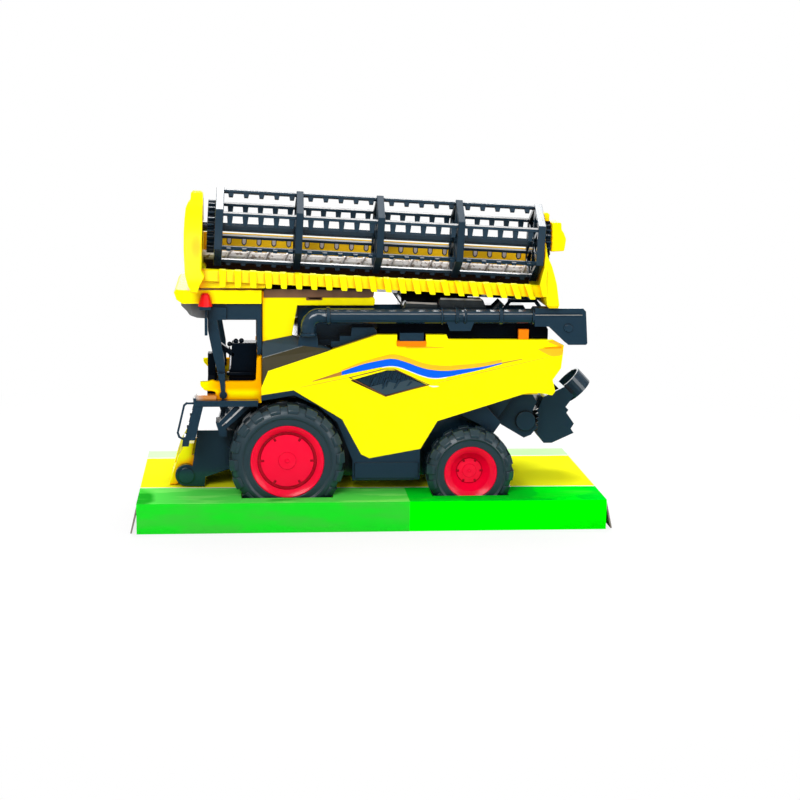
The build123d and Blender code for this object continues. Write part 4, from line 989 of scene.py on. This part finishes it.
# ------------------------------------------------------------------ display tray
# A folded card tray with a glossy print: bright green front with darker grass on its left, a
# yellow field on top between thin white lines, a light green strip at the back, grey board edges.
card = Finish("printed_card", IOR=1.45, Specular_IOR_Level=0.0)
dress("display_tray", card, 0.0)
depth = card.place("Y")
along = card.place("X")
height = card.place("Z")
swell = card.noise(5.0, 0.0) - 0.5
field_near = -34.5 * mm
field_far = 48.5 * mm
card_top = 17.55 * mm
front_face = -69.9 * mm
print_join = 0.0206
line_near = depth + swell * 0.012 + along * 0.018
stretched = card.add("ShaderNodeMapping", sockets={0: card.place(), "Scale": (0.25, 1.0, 1.0)})
blades = card.noise(90.0, 4.0, stretched)
left_part = card.ease(along * -1.0, 0.0, 0.020)
pale = card.mix(card.ease(blades, 0.48, 0.62), (0.10, 0.80, 0.09), (0.20, 0.90, 0.14))
deep = card.mix(card.ease(blades, 0.42, 0.58), (0.015, 0.42, 0.02), (0.06, 0.66, 0.05))
grass = card.mix(card.ease(card.noise(14.0, 2.0), 0.50, 0.56) * left_part, pale, deep)
vivid = card.mix(card.ease(blades, 0.45, 0.7), (0.0, 0.93, 0.01), (0.02, 0.80, 0.02))
vivid = card.mix(card.ease(card.noise(18.0), 0.56, 0.6) * 0.7, vivid, (0.0, 0.62, 0.02))
strip = card.mix(card.ease(along, 0.0200, print_join), grass, vivid)
front = card.mix(card.ease(blades, 0.40, 0.66), (0.012, 0.66, 0.02), (0.035, 0.56, 0.035))
front_vivid = card.mix(card.ease(blades, 0.5, 0.75), (0.0, 0.95, 0.0), (0.0, 0.78, 0.0))
front = card.mix(card.ease(along, 0.0201, print_join), front, front_vivid)
on_front = (height < card_top) * (depth < front_face)
field = card.mix(card.noise(30.0), (0.98, 0.93, 0.01), (0.92, 0.98, 0.02))
verge = card.mix(card.noise(25.0), (0.45, 0.88, 0.36), (0.60, 0.95, 0.50))
top = card.mix(line_near > field_near, strip, (0.93, 0.95, 0.90))
top = card.mix(line_near > field_near + 1.3 * mm, top, field)
top = card.mix(depth > field_far, top, (0.95, 0.97, 0.93))
top = card.mix(depth > field_far + 1.6 * mm, top, verge)
printed = card.mix(on_front, top, front)
# Past the tray's ends the unprinted board of the flaps shows.
END_EDGE = 135.05 * mm
board = card.mix(card.noise(120.0), (0.16, 0.14, 0.12), (0.24, 0.21, 0.18))
printed = card.mix(along * along > END_EDGE ** 2, printed, board)
card.set(Base_Color=printed, Roughness=0.45 + 0.06 * card.noise(300.0))

# The lips of the four wheel wells, a little above the card, before and behind each tyre.
shape = bmesh.new()
for axle, inner, outer in ((-49.4, 26.4, 28.7), (57.2, 22.6, 25.5)):
    for way in (-1.0, 1.0):
        for side in (-1.0, 1.0):
            x0, x1 = sorted((axle + way * inner, axle + way * outer))
            y0, y1 = sorted((side * 30.9, side * 58.3))
            block(shape, 17.1, 17.58, x0, x1, y0, y1)
piece_from(shape, "tray_lips", card, "machine_on_tray", 0)

# ------------------------------------------------------------------ sizes
# The bounds of the dressed toy, measured over every shown piece but the backdrop.
low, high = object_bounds()
